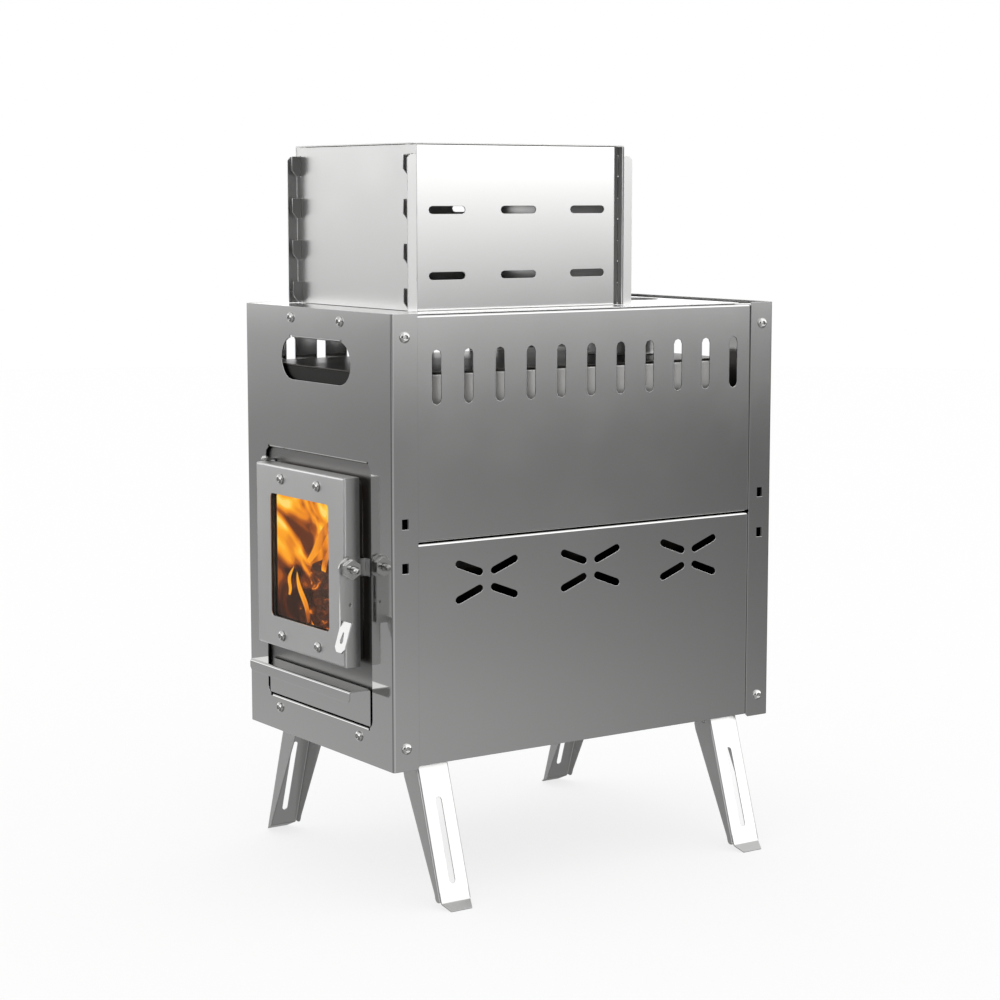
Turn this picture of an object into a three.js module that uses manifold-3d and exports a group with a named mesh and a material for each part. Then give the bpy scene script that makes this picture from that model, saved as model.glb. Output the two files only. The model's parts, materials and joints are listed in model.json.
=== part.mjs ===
// Tent wood stove in folded stainless sheet: an outer shell of two corner pans and
// four side panels, an inner firebox with a glazed door, an ash drawer, four folding
// legs, and a slotted hot box that stands on the top plate.
//
// Millimetres, +Z up. The stove is laid out with its front face at y = 0 and the
// shell's lower edge at z = 0, and the whole model is then set down so that the
// origin lies on the floor, under the middle of its outline. The door faces -Y.

import * as THREE from "three";
import { mergeVertices } from "three/addons/utils/BufferGeometryUtils.js";
import Module from "manifold-3d";

const wasm = await Module();
wasm.setup();

// ---------------------------------------------------------------------------
// Driving dimensions
// ---------------------------------------------------------------------------

const sheet = 1;                  // thickness of every folded sheet
const seat = 0.3;                 // gap between two pieces that touch
const bend = 1.5;                 // centre-line radius of a fold

const bodyWidth = 244;
const bodyLength = 400;
const bodyHeight = 375;
const cornerStrip = 25;           // how far a corner pan wraps along the side

const sidePanelDrop = 1.5;        // side panels end this far below the pans' top
const sidePanelLift = 2.5;        // and this far above the pans' bottom
const sideSplit = 187.7;          // height of the joint between upper and lower panels
const sideSplitGap = 1;
const sideFlange = 8;

const ventCount = 11;
const ventPitch = 31.2;
const ventWidth = 9;
const ventHeight = 45;
const ventDrop = 52.3;            // body's top to the middle of the vents

const crossCount = 3;
const crossPitch = 107;
const crossDrop = 35.4;           // side split to the middle of the crosses
const crossReachAlong = 17.6;     // from a cross's middle to the middle of an arm
const crossReachUp = 11;
const crossArm = 29;
const crossArmWidth = 6.5;
const crossTilt = 21;             // degrees

const keySlotWidth = 6.2;
const keySlotHeight = 8.4;
const keySlotInset = 12.5;        // from a pan's face to its key slots and side screws
const keySlotAbove = 16.9;        // side split to the key slots above it
const keySlotBelow = 19.4;        // and below it
const cornerScrewDrop = 19;       // body's top to the upper side screws
const cornerScrewLower = 18.8;

const handHoleLength = 116;
const handHoleHeight = 36;
const handHoleDrop = 44.4;        // body's top to the middle of the hand hole
const foldedLip = 8;              // depth of the lips folded in at the hole edges
const lipRelief = 2.5;

const cutoutSide = 14;            // from the door's side to the edge of the front pan's cut-out
const cutoutAbove = 11.2;         // from the door's top to the cut-out's top
const cutoutBottom = 30.7;
const cutoutCorner = 7;
const cutoutTopLip = 2.5;         // stops short of the firebox front

const topScrewSpacing = 82;
const topScrewDrop = 9.5;         // body's top to the hot plate's screws
const bottomScrewSpacing = 135;
const bottomScrewRise = 5;        // bottom plate's face to its screws
const screwRadius = 2;
const screwHeadRadius = 4.6;
const screwHeadHeight = 2.6;
const nutRadius = 4;
const nutHeight = 2.4;

const hotPlateGap = 35;           // between the hot plate and the rear panel's face
const topFlange = 14;             // hot plate's end flanges
const flueRadius = 32;
const flueFromRear = 75;
const flueWall = 1;
const flueClearance = 1;
const flueFlange = 5;
const flueLedge = 3;              // the roof's hole is this much smaller than the socket's bore

const floorPlateRise = 15;        // underside of the bottom plate
const floorFlange = 11;           // bottom plate's end flanges

const fireboxSide = 22;           // from the body's side to the firebox wall
const fireboxFront = 3;           // behind the front face
const fireboxRearGap = 38;        // firebox rear to the rear panel's face
const fireboxDrop = 51;           // body's top to the firebox's top
const fireboxFloorRise = 68;
const fireboxFlange = 10;         // along the top of each firebox wall
const fireboxSkirt = 6;           // how far the front and rear plates reach below the floor
const grateSide = 34;             // from a firebox wall to the grate
const grateEnd = 34.5;            // from the firebox front to the grate
const grateThickness = 3;
const grateLedge = 6;             // how far the grate overlaps the floor
const grateBars = 13;
const grateSlot = 8;

const doorWidth = 150;
const doorHeight = 158;
const doorBottom = 81.5;
const doorStandoff = 17.5;        // from the front pan's face to the door's face
const doorDepth = 15;
const windowSide = 25.5;          // from the door's edges to the window
const windowAbove = 24.5;
const windowBelow = 26.5;
const windowCorner = 4;
const glassThickness = 3;
const glassMargin = 6;
const gasketThickness = 1.5;
const gasketInset = 1;            // gasket's inner edge outside the window
const doorScrewSpacing = 61.6;
const doorScrewInset = 11;        // from the door's ends to its screws
const doorFrameInset = 3;         // between the door's flanges and the frame inside it
const doorFrameDepth = 4;         // how far the frame reaches into the door
const doorFrameWall = 1.2;
const mouthInset = 4;             // firebox mouth inside the frame's outline

const hingePinRadius = 1.5;
const hingeKnuckleRadius = 3.2;
const hingeKnuckleLength = 24;
const hingeKnuckleInset = 3;      // from the end of the door
const hingeSetback = 6;           // pin centre in front of the pan's face
const hingeLug = 1.2;
const hingePlay = 0.5;            // between a lug and the end of the door

const latchRise = 83.5;           // door's bottom to the stud
const latchSetback = 15;          // stud centre in front of the pan's face
const latchStudRadius = 3;
const latchStudLength = 17;
const latchPlate = 1.5;
const latchHub = 9.6;
const latchArmWidth = 12.6;
const latchArmDrop = 48;
const latchTabWidth = 16;
const latchTabLength = 20;
const latchTabLean = 17;          // degrees
const latchPlay = 0.4;            // between the door's side, the keeper and the lever
const latchNutRadius = 8.5;
const latchNutHeight = 5;
const keeperHeight = 15;

const drawerSide = 3.5;           // from the cut-out's edge to the drawer
const drawerClearance = 1.6;      // above the cut-out's lower edge
const drawerTop = 64;
const drawerLip = 20;
const drawerLipReturn = 10;
const drawerRearGap = 24;         // from the firebox rear to the drawer's end
const drawerTrayInset = 2.5;      // tray inside the drawer's front
const drawerTrayHeight = 27;

const legSplay = 17.8;            // degrees
const legPinHeight = -3;
const legPinFromMiddle = 103.8;
const legFromEnd = 44;            // leg's middle to the nearer end of the body
const legWidth = 31;
const legFace = 9;                // pin centre to the leg's outer face
const legLength = 114;            // pin to the fold of the foot
const legHead = 7;                // above the pin
const legFlangeTop = 23;
const legFlangeFoot = 6.5;
const legSlotWidth = 5.5;
const legSlotLength = 72;
const legSlotTop = 27;            // below the pin
const footLength = 10.6;
const footCorner = 5;
const legPinRadius = 1.6;
const legPinHead = 4;

const boxFront = 39.5;            // hot box: face of its front web
const boxLength = 210;
const boxWallInset = 7;           // from the webs' edges to the walls' outer faces
const boxWebWidth = 198;
const boxHeight = 135;
const boxFlange = 9;
const boxFlangeDrop = 8;          // flanges stop this far below the web's top
const boxTabCount = 4;
const boxTabPitch = 36.2;
const boxTabHeight = 17;
const boxTabReach = 8.5;          // beyond the web
const boxTabDrop = 7.7;           // box's top to the uppermost hook
const boxSlotLength = 36;
const boxSlotHeight = 6.4;
const boxSlotPitch = 71.4;
const boxSlotDrops = [53.1, 106.9];   // box's top to the two rows of slots
const boxCoverPeg = 7;
const boxCoverPegInset = 14;      // from the webs' edges to the pegs
const boxCoverPegRise = 1.2;

// ---------------------------------------------------------------------------
// Materials
// ---------------------------------------------------------------------------

function finish(color, roughness, metalness = 1) {
  return new THREE.MeshStandardMaterial({ color, roughness, metalness });
}
const polished = finish(0xb9b9b7, 0.12);
const satin = finish(0xa7a7a4, 0.38);
const inner = finish(0x8d8d8a, 0.45);
const plated = finish(0xc9c9c6, 0.18);
const iron = finish(0x2b2a29, 0.8, 0.6);
const fibre = finish(0xd8d2c4, 0.95, 0);
const glass = new THREE.MeshStandardMaterial({
  color: 0xe9d9c0, roughness: 0.05, metalness: 0, transparent: true, opacity: 0.35,
});

// ---------------------------------------------------------------------------
// Outlines and sections
// ---------------------------------------------------------------------------

const radians = (degrees) => THREE.MathUtils.degToRad(degrees);
const shapeOf = (points) => new THREE.Shape(points.map(([x, y]) => new THREE.Vector2(x, y)));

function arc(x, y, radius, from, to, steps) {
  const points = [];
  for (let i = 0; i <= steps; i += 1) {
    const angle = radians(from + ((to - from) * i) / steps);
    points.push([x + radius * Math.cos(angle), y + radius * Math.sin(angle)]);
  }
  return points;
}

function roundedBox(x0, y0, x1, y1, radius, steps = 3) {
  return [
    ...arc(x1 - radius, y1 - radius, radius, 0, 90, steps),
    ...arc(x0 + radius, y1 - radius, radius, 90, 180, steps),
    ...arc(x0 + radius, y0 + radius, radius, 180, 270, steps),
    ...arc(x1 - radius, y0 + radius, radius, 270, 360, steps),
  ];
}

const box2 = (x0, y0, x1, y1) => [[x0, y0], [x1, y0], [x1, y1], [x0, y1]];
const circle = (x, y, radius, steps = 16) => arc(x, y, radius, 0, 360 - 360 / steps, steps - 1);

// A slot with round ends, centred on (x, y) and turned by tilt degrees.
function obround(x, y, length, width, tilt = 0, steps = 4) {
  const reach = (length - width) / 2;
  const flat = [
    ...arc(reach, 0, width / 2, -90, 90, steps),
    ...arc(-reach, 0, width / 2, 90, 270, steps),
  ];
  const cos = Math.cos(radians(tilt));
  const sin = Math.sin(radians(tilt));
  return flat.map(([u, v]) => [x + u * cos - v * sin, y + u * sin + v * cos]);
}

// The section of a folded sheet: a strip of the sheet's thickness that follows a
// centre line and turns each corner on the fold's radius.
function foldedStrip(line, thickness = sheet, radius = bend, steps = 2) {
  const left = [];
  const right = [];
  const add = (x, y, angle) => {
    const nx = -Math.sin(angle) * (thickness / 2);
    const ny = Math.cos(angle) * (thickness / 2);
    left.push([x + nx, y + ny]);
    right.push([x - nx, y - ny]);
  };
  const heading = (a, b) => Math.atan2(b[1] - a[1], b[0] - a[0]);
  add(...line[0], heading(line[0], line[1]));
  for (let i = 1; i < line.length - 1; i += 1) {
    const into = heading(line[i - 1], line[i]);
    let turn = heading(line[i], line[i + 1]) - into;
    if (turn > Math.PI) turn -= 2 * Math.PI;
    if (turn < -Math.PI) turn += 2 * Math.PI;
    const side = Math.sign(turn);
    const back = radius * Math.tan(Math.abs(turn) / 2);
    const centreX = line[i][0] - Math.cos(into) * back - side * radius * Math.sin(into);
    const centreY = line[i][1] - Math.sin(into) * back + side * radius * Math.cos(into);
    for (let k = 0; k <= steps; k += 1) {
      const angle = into + (turn * k) / steps;
      add(centreX + side * radius * Math.sin(angle), centreY - side * radius * Math.cos(angle), angle);
    }
  }
  const last = line.length - 1;
  add(...line[last], heading(line[last - 1], line[last]));
  return [...left, ...right.reverse()];
}

// ---------------------------------------------------------------------------
// Solids
// ---------------------------------------------------------------------------

const basis = (x, y, z) => new THREE.Matrix4().makeBasis(
  new THREE.Vector3(...x), new THREE.Vector3(...y), new THREE.Vector3(...z),
);
const planes = {
  top: basis([1, 0, 0], [0, 1, 0], [0, 0, 1]),      // outline in x and y, thick along z
  front: basis([1, 0, 0], [0, 0, 1], [0, -1, 0]),   // outline in x and z, thick along y
  side: basis([0, 1, 0], [0, 0, 1], [1, 0, 0]),     // outline in y and z, thick along x
};

function solid(geometry) {
  const bare = geometry.clone();
  bare.deleteAttribute("normal");
  bare.deleteAttribute("uv");
  const merged = mergeVertices(bare, 1e-4);
  return new wasm.Manifold(new wasm.Mesh({
    numProp: 3,
    vertProperties: new Float32Array(merged.attributes.position.array),
    triVerts: new Uint32Array(merged.index.array),
  }));
}

// A prism over an outline, between two places along the plane's own axis.
function prism(points, plane, from, to) {
  const geometry = new THREE.ExtrudeGeometry(shapeOf(points), { depth: to - from, bevelEnabled: false });
  geometry.applyMatrix4(planes[plane]);
  if (plane === "front") geometry.translate(0, to, 0);
  else if (plane === "side") geometry.translate(from, 0, 0);
  else geometry.translate(0, 0, from);
  return solid(geometry);
}

const block = (x0, x1, y0, y1, z0, z1) => prism(box2(x0, y0, x1, y1), "top", z0, z1);

// A turned solid: a closed profile of [radius, height] points about the z axis.
function turned(profile, steps = 12) {
  const points = profile.map(([r, z]) => new THREE.Vector2(r, z));
  const geometry = new THREE.LatheGeometry(points, steps);
  geometry.rotateX(Math.PI / 2);
  return solid(geometry);
}

const joinAll = (solids) => solids.reduce((sum, next) => sum.add(next));
const cutAll = (start, cutters) => cutters.reduce((rest, next) => rest.subtract(next), start);

function geometryOf(manifold) {
  const mesh = manifold.getMesh();
  const geometry = new THREE.BufferGeometry();
  geometry.setAttribute("position", new THREE.BufferAttribute(new Float32Array(mesh.vertProperties), 3));
  geometry.setIndex(new THREE.BufferAttribute(new Uint32Array(mesh.triVerts), 1));
  geometry.computeVertexNormals();
  return geometry;
}

const stove = new THREE.Group();

function addPiece(name, manifold, material) {
  const mesh = new THREE.Mesh(geometryOf(manifold), material);
  mesh.name = name;
  stove.add(mesh);
}

// ---------------------------------------------------------------------------
// Shared places
// ---------------------------------------------------------------------------

const halfWidth = bodyWidth / 2;
const bodyMiddle = bodyLength / 2;
const inside = sheet + seat;                          // first free depth behind a pan
const sideOuter = halfWidth - sheet - seat;           // side panels' outer face
const sideInner = sideOuter - sheet;
const sideFlangeEdge = sideOuter - sheet / 2 - sideFlange;
const ventMiddle = bodyHeight - ventDrop;
const crossMiddle = sideSplit - crossDrop;
const keySlotUpper = sideSplit + keySlotAbove;
const keySlotLower = sideSplit - keySlotBelow;
const cornerScrewUpper = bodyHeight - cornerScrewDrop;
const handHoleMiddle = bodyHeight - handHoleDrop;
const holeRadius = screwRadius + seat;

const topPlateRise = bodyHeight - sidePanelDrop + seat;
const topPlateFace = topPlateRise + sheet;
const topScrewHeight = bodyHeight - topScrewDrop;
const hotPlateEnd = bodyLength - hotPlateGap;
const floorPlateFace = floorPlateRise + sheet;
const bottomScrewHeight = floorPlateFace + bottomScrewRise;
const flueMiddle = bodyLength - flueFromRear;

const fireboxHalf = halfWidth - fireboxSide;
const fireboxRear = bodyLength - fireboxRearGap;
const fireboxTop = bodyHeight - fireboxDrop;
const grateHalf = fireboxHalf - grateSide;
const grateFront = fireboxFront + grateEnd;
const grateBack = fireboxRear - grateEnd;

const doorHalf = doorWidth / 2;
const doorTop = doorBottom + doorHeight;
const doorFace = -doorStandoff;
const doorBack = doorFace + doorDepth;
const doorScrewUpper = doorTop - doorScrewInset;
const doorScrewLower = doorBottom + doorScrewInset;
const windowHalf = doorHalf - windowSide;
const windowBottom = doorBottom + windowBelow;
const windowTop = doorTop - windowAbove;
const latchHeight = doorBottom + latchRise;
const cutoutHalf = doorHalf + cutoutSide;
const cutoutTop = doorTop + cutoutAbove;
const drawerHalf = cutoutHalf - drawerSide;
const drawerBottom = cutoutBottom + drawerClearance;

// ---------------------------------------------------------------------------
// Screws and clinch nuts
// ---------------------------------------------------------------------------

const onLeft = (manifold) => manifold.mirror([1, 0, 0]);
const facingFront = (manifold, x, y, z) => manifold.rotate([90, 0, 0]).translate([x, y, z]);
const facingSide = (manifold, x, y, z) => manifold.rotate([0, 90, 0]).translate([x, y, z]);

// Button head screw along +z, with its head's underside at z = rise and a shank below z = 0.
function buttonScrew(length, rise) {
  const top = rise + screwHeadHeight;
  return turned([
    [0, -length], [screwRadius, -length], [screwRadius, rise], [screwHeadRadius, rise],
    [screwHeadRadius, rise + 1], [screwHeadRadius * 0.65, top], [0, top],
  ], 10);
}

// A nut clinched into the inner sheet of a joint: its axis is z and it stands on z = 0.
const clinchNut = prism(circle(0, 0, nutRadius, 6), "top", -nutHeight, sheet / 2)
  .subtract(prism(circle(0, 0, holeRadius, 8), "top", -nutHeight - 1, sheet));

const panScrew = buttonScrew(2 * sheet + seat + nutHeight, 0);
const rightAndLeft = (manifold) => [manifold, onLeft(manifold)];

// The screws of a corner pan are one with it: two in each strip, two in the bottom
// plate and, at the front, two in the hot plate.
const webScrews = (spacing, height) => rightAndLeft(facingFront(panScrew, spacing / 2, 0, height));
const stripScrews = (height) => rightAndLeft(facingSide(panScrew, halfWidth, keySlotInset, height));
const panScrews = [
  ...stripScrews(cornerScrewUpper), ...stripScrews(cornerScrewLower),
  ...webScrews(bottomScrewSpacing, bottomScrewHeight),
];

// ---------------------------------------------------------------------------
// Corner pans: a web with the corner strips folded back from it
// ---------------------------------------------------------------------------

// A lip folded in from the edge of a hole in the web at height edge. The web lies
// on the side that up points to.
function foldedInLip(halfLength, edge, up, depth) {
  const reach = bend + sheet / 2;
  const line = [
    [sheet / 2, edge + up * (reach + 1)],
    [sheet / 2, edge + up * (sheet / 2)],
    [depth, edge + up * (sheet / 2)],
  ];
  return prism(foldedStrip(line), "side", -halfLength, halfLength);
}

// What is cut away beside and under a folded lip, with a relief notch at each end.
function lipClearance(halfLength, edge, up) {
  const reach = edge + up * (bend + sheet / 2);
  const low = Math.min(edge - up * 2, reach);
  const high = Math.max(edge - up * 2, reach);
  return prism(box2(-halfLength - lipRelief, low, halfLength + lipRelief, high), "front", -1, sheet + 1);
}

function cornerPan(isFront) {
  const x = halfWidth - sheet / 2;
  const section = foldedStrip([[-x, cornerStrip], [-x, sheet / 2], [x, sheet / 2], [x, cornerStrip]]);
  const web = (points) => prism(points, "front", -1, sheet + 1);
  const strips = (points) => prism(points, "side", -halfWidth - 1, halfWidth + 1);
  const cutters = [
    web(obround(0, handHoleMiddle, handHoleLength, handHoleHeight, 0, 10)),
    strips([[cornerStrip - 3, -1], [cornerStrip + 1, -1], [cornerStrip + 1, 3]]),
  ];
  for (const z of [keySlotUpper, keySlotLower]) {
    const w = keySlotWidth / 2;
    const h = keySlotHeight / 2;
    cutters.push(strips(box2(keySlotInset - w, z - h, keySlotInset + w, z + h)));
  }
  const handLip = (handHoleLength - handHoleHeight) / 2 + 1;
  const handTop = handHoleMiddle + handHoleHeight / 2;
  cutters.push(lipClearance(handLip, handTop, 1));
  const lips = [foldedInLip(handLip, handTop, 1, foldedLip)];
  if (isFront) {
    const straight = cutoutHalf - cutoutCorner;
    cutters.push(web(roundedBox(-cutoutHalf, cutoutBottom, cutoutHalf, cutoutTop, cutoutCorner)));
    cutters.push(lipClearance(straight, cutoutTop, 1), lipClearance(straight, cutoutBottom, -1));
    lips.push(foldedInLip(straight, cutoutTop, 1, cutoutTopLip));
    lips.push(foldedInLip(straight, cutoutBottom, -1, foldedLip));
    lips.push(...webScrews(topScrewSpacing, topScrewHeight));
  }
  const pan = cutAll(prism(section, "top", 0, bodyHeight), cutters);
  return joinAll([pan, ...lips, ...panScrews]);
}

addPiece("front_panel", cornerPan(true), polished);

const atRear = (manifold) => manifold.rotate([0, 0, 180]).translate([0, bodyLength, 0]);
addPiece("rear_panel", atRear(cornerPan(false)), polished);

// ---------------------------------------------------------------------------
// Side panels, tucked inside the corner strips
// ---------------------------------------------------------------------------

const panelStart = inside + sheet + bend;
const panelEnd = bodyLength - panelStart;

// The right-hand panel between two heights, folded in at its top and, where
// hasFoot is true, at its bottom too.
function sidePanel(low, high, hasFoot, cutters) {
  const x = sideOuter - sheet / 2;
  const line = [[x, high - sheet / 2], [sideFlangeEdge, high - sheet / 2]];
  const foot = [[sideFlangeEdge, low + sheet / 2], [x, low + sheet / 2]];
  line.unshift(...(hasFoot ? foot : [[x, low]]));
  return cutAll(prism(foldedStrip(line), "front", panelStart, panelEnd), cutters);
}

const throughSide = (points) => prism(points, "side", sideInner - 1, sideOuter + 1);
const stripPlaces = [keySlotInset, bodyLength - keySlotInset];
const screwHolesAt = (z) => stripPlaces.map((y) => throughSide(circle(y, z, holeRadius, 8)));
const nutsAt = (z) => stripPlaces.map((y) => facingSide(clinchNut, sideInner, y, z));
const keySlotsAt = (z) => stripPlaces.map((y) => throughSide(box2(
  y - keySlotWidth / 2, z - keySlotHeight / 2, y + keySlotWidth / 2, z + keySlotHeight / 2,
)));

function ventCutters() {
  const cutters = [];
  for (let i = 0; i < ventCount; i += 1) {
    const y = bodyMiddle + (i - (ventCount - 1) / 2) * ventPitch;
    cutters.push(throughSide(obround(y, ventMiddle, ventHeight, ventWidth, 90)));
  }
  return cutters;
}

function crossCutters() {
  const cutters = [];
  for (let i = 0; i < crossCount; i += 1) {
    const middle = bodyMiddle + (i - (crossCount - 1) / 2) * crossPitch;
    for (const along of [-1, 1]) {
      for (const up of [-1, 1]) {
        const y = middle + along * crossReachAlong;
        const z = crossMiddle + up * crossReachUp;
        cutters.push(throughSide(obround(y, z, crossArm, crossArmWidth, along * up * crossTilt)));
      }
    }
  }
  return cutters;
}

const upperPanel = joinAll([
  sidePanel(sideSplit + sideSplitGap / 2, bodyHeight - sidePanelDrop, true, [
    ...ventCutters(), ...screwHolesAt(cornerScrewUpper), ...keySlotsAt(keySlotUpper),
  ]),
  ...nutsAt(cornerScrewUpper),
]);
const lowerPanel = joinAll([
  sidePanel(sidePanelLift, sideSplit - sideSplitGap / 2, false, [
    ...crossCutters(), ...screwHolesAt(cornerScrewLower), ...keySlotsAt(keySlotLower),
  ]),
  ...nutsAt(cornerScrewLower),
]);
addPiece("side_panel_upper_right", upperPanel, polished);
addPiece("side_panel_upper_left", onLeft(upperPanel), polished);
addPiece("side_panel_lower_right", lowerPanel, polished);
addPiece("side_panel_lower_left", onLeft(lowerPanel), polished);

// ---------------------------------------------------------------------------
// Hot plate and bottom plate, screwed to the pans through their end flanges
// ---------------------------------------------------------------------------

const plateFront = inside + sheet / 2;
const plateBack = bodyLength - plateFront;
const plateHalf = sideInner - seat;

// Holes in a plate's front flange, and the nuts behind them.
const endScrewHoles = (spacing, height) => [-1, 1].map((side) => prism(
  circle((side * spacing) / 2, height, holeRadius, 8), "front", plateFront - 2, plateFront + 2,
));
const endNuts = (spacing, height) => [-1, 1].map((side) => facingFront(
  clinchNut, (side * spacing) / 2, plateFront + sheet / 2, height,
));
const atBothEnds = (manifold) => [manifold, atRear(manifold)];

const hotPlateBack = hotPlateEnd - sheet / 2;
const topPlateLine = [
  [plateFront, topPlateFace - topFlange], [plateFront, topPlateRise + sheet / 2],
  [hotPlateBack, topPlateRise + sheet / 2], [hotPlateBack, topPlateFace - topFlange],
];
// Its rear flange stands between the flanges of the side panels that carry it.
const rearCornerNotches = rightAndLeft(block(
  sideFlangeEdge - seat, plateHalf + 1, hotPlateEnd - sheet - bend, hotPlateEnd + 1,
  topPlateFace - topFlange - 1, topPlateFace + 1,
));
const topPlate = cutAll(prism(foldedStrip(topPlateLine), "side", -plateHalf, plateHalf), [
  ...rearCornerNotches,
  prism(circle(0, flueMiddle, flueRadius + flueClearance, 32), "top", topPlateRise - 1, topPlateFace + 1),
  ...endScrewHoles(topScrewSpacing, topScrewHeight),
]);
addPiece("top_plate", joinAll([topPlate, ...endNuts(topScrewSpacing, topScrewHeight)]), polished);

// The bottom plate is notched at its corners for the side panels' nuts.
const notchWidth = nutHeight + 1;
const notchLength = keySlotInset + nutRadius + 1;
const cornerNotches = rightAndLeft(block(
  plateHalf - notchWidth, plateHalf + 1, -1, notchLength,
  floorPlateRise - 1, floorPlateFace + floorFlange + 1,
)).flatMap(atBothEnds);
const bottomPlateLine = [
  [plateFront, floorPlateFace + floorFlange], [plateFront, floorPlateRise + sheet / 2],
  [plateBack, floorPlateRise + sheet / 2], [plateBack, floorPlateFace + floorFlange],
];
const bottomPlate = cutAll(prism(foldedStrip(bottomPlateLine), "side", -plateHalf, plateHalf), [
  ...endScrewHoles(bottomScrewSpacing, bottomScrewHeight).flatMap(atBothEnds), ...cornerNotches,
]);
const bottomNuts = endNuts(bottomScrewSpacing, bottomScrewHeight).flatMap(atBothEnds);
addPiece("bottom_plate", joinAll([bottomPlate, ...bottomNuts]), satin);

// ---------------------------------------------------------------------------
// Firebox: two walls on the bottom plate, floor, front, rear and roof plates
// ---------------------------------------------------------------------------

const wallStart = fireboxFront + sheet + seat;
const wallEnd = fireboxRear - sheet - seat;
const wallLine = [
  [fireboxHalf - sheet / 2, floorPlateFace + seat],
  [fireboxHalf - sheet / 2, fireboxTop - sheet / 2],
  [fireboxHalf - fireboxFlange, fireboxTop - sheet / 2],
];
const fireboxWall = prism(foldedStrip(wallLine), "front", wallStart, wallEnd);
addPiece("firebox_wall_right", fireboxWall, inner);
addPiece("firebox_wall_left", onLeft(fireboxWall), inner);

const fireboxInner = fireboxHalf - sheet - seat;      // half width between the walls
const floorLine = [
  [-fireboxInner + sheet / 2, fireboxFloorRise - fireboxSkirt],
  [-fireboxInner + sheet / 2, fireboxFloorRise + sheet / 2],
  [fireboxInner - sheet / 2, fireboxFloorRise + sheet / 2],
  [fireboxInner - sheet / 2, fireboxFloorRise - fireboxSkirt],
];
addPiece("firebox_floor", prism(foldedStrip(floorLine), "front", wallStart, wallEnd).subtract(block(
  -grateHalf + grateLedge, grateHalf - grateLedge, grateFront + grateLedge, grateBack - grateLedge,
  fireboxFloorRise - 1, fireboxFloorRise + sheet + 1,
)), inner);

const grateRise = fireboxFloorRise + sheet + seat;
function grate() {
  const plate = block(-grateHalf, grateHalf, grateFront, grateBack, grateRise, grateRise + grateThickness);
  const middle = (grateFront + grateBack) / 2;
  const pitch = (grateBack - grateFront - 2 * grateLedge) / grateBars;
  const slots = [];
  for (let i = 0; i < grateBars; i += 1) {
    const y = middle + (i - (grateBars - 1) / 2) * pitch;
    const points = obround(0, y, 2 * grateHalf - 4 * grateLedge, grateSlot);
    slots.push(prism(points, "top", grateRise - 1, grateRise + grateThickness + 1));
  }
  return cutAll(plate, slots);
}
addPiece("fire_grate", grate(), iron);

const frameOuterHalf = doorHalf - sheet - doorFrameInset;
const frameLow = doorBottom + sheet + doorFrameInset;
const frameHigh = doorTop - sheet - doorFrameInset;
const mouth = roundedBox(
  -frameOuterHalf + mouthInset, frameLow + mouthInset, frameOuterHalf - mouthInset, frameHigh - mouthInset, 3,
);
const fireboxEnd = (y) => prism(
  box2(-fireboxHalf, fireboxFloorRise - fireboxSkirt, fireboxHalf, fireboxTop), "front", y, y + sheet,
);
addPiece("firebox_front", fireboxEnd(fireboxFront).subtract(
  prism(mouth, "front", fireboxFront - 1, fireboxFront + sheet + 1),
), inner);
addPiece("firebox_rear", fireboxEnd(fireboxRear - sheet), inner);

const roofRise = fireboxTop + seat;
addPiece("firebox_roof", prism(
  box2(-fireboxHalf, fireboxFront, fireboxHalf, fireboxRear), "top", roofRise, roofRise + sheet,
).subtract(prism(
  circle(0, flueMiddle, flueRadius - flueWall - flueLedge, 24), "top", roofRise - 1, roofRise + sheet + 1,
)), inner);

// The flue socket stands on the roof and ends just under the hole in the hot plate.
const flueFoot = roofRise + sheet + seat;
addPiece("flue_socket", turned([
  [flueRadius - flueWall, flueFoot], [flueRadius + flueFlange, flueFoot],
  [flueRadius + flueFlange, flueFoot + sheet], [flueRadius, flueFoot + sheet],
  [flueRadius, topPlateRise - seat], [flueRadius - flueWall, topPlateRise - seat],
  [flueRadius - flueWall, flueFoot],
], 32).translate([0, flueMiddle, 0]), satin);

// ---------------------------------------------------------------------------
// Door frame, hinge and keeper, fixed to the firebox front
// ---------------------------------------------------------------------------

const frameFront = doorBack - doorFrameDepth;
const frameOutline = (inset, radius) => roundedBox(
  -frameOuterHalf + inset, frameLow + inset, frameOuterHalf - inset, frameHigh - inset, radius,
);
addPiece("door_frame", prism(frameOutline(0, 4), "front", frameFront, fireboxFront - seat).subtract(
  prism(frameOutline(doorFrameWall, 3), "front", frameFront - 1, fireboxFront + 1),
), satin);

const hingeLeaf = 1;
const hingeX = -(doorHalf + seat + hingeLeaf / 2 + hingeKnuckleRadius);
const lugHalf = 3.6;
const lugLeafHeight = 13;

function lug(low, leafLow, leafHigh) {
  const outline = [
    [hingeX + lugHalf, fireboxFront - seat], [hingeX - lugHalf, fireboxFront - seat],
    ...arc(hingeX, -hingeSetback, lugHalf, 180, 360, 8),
  ];
  const tongue = prism(outline, "top", low, low + hingeLug).subtract(
    prism(circle(hingeX, -hingeSetback, hingePinRadius + seat, 12), "top", low - 1, low + hingeLug + 1),
  );
  const y = fireboxFront - seat;
  return tongue.add(block(hingeX - lugHalf, hingeX + lugHalf, y - hingeLug, y, leafLow, leafHigh));
}
const upperLug = doorTop + hingePlay;
const lowerLug = doorBottom - hingePlay - hingeLug;
addPiece("hinge_lug_upper", lug(upperLug, upperLug + hingeLug - lugLeafHeight, upperLug + hingeLug), satin);
addPiece("hinge_lug_lower", lug(lowerLug, lowerLug, lowerLug + lugLeafHeight), satin);

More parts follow.
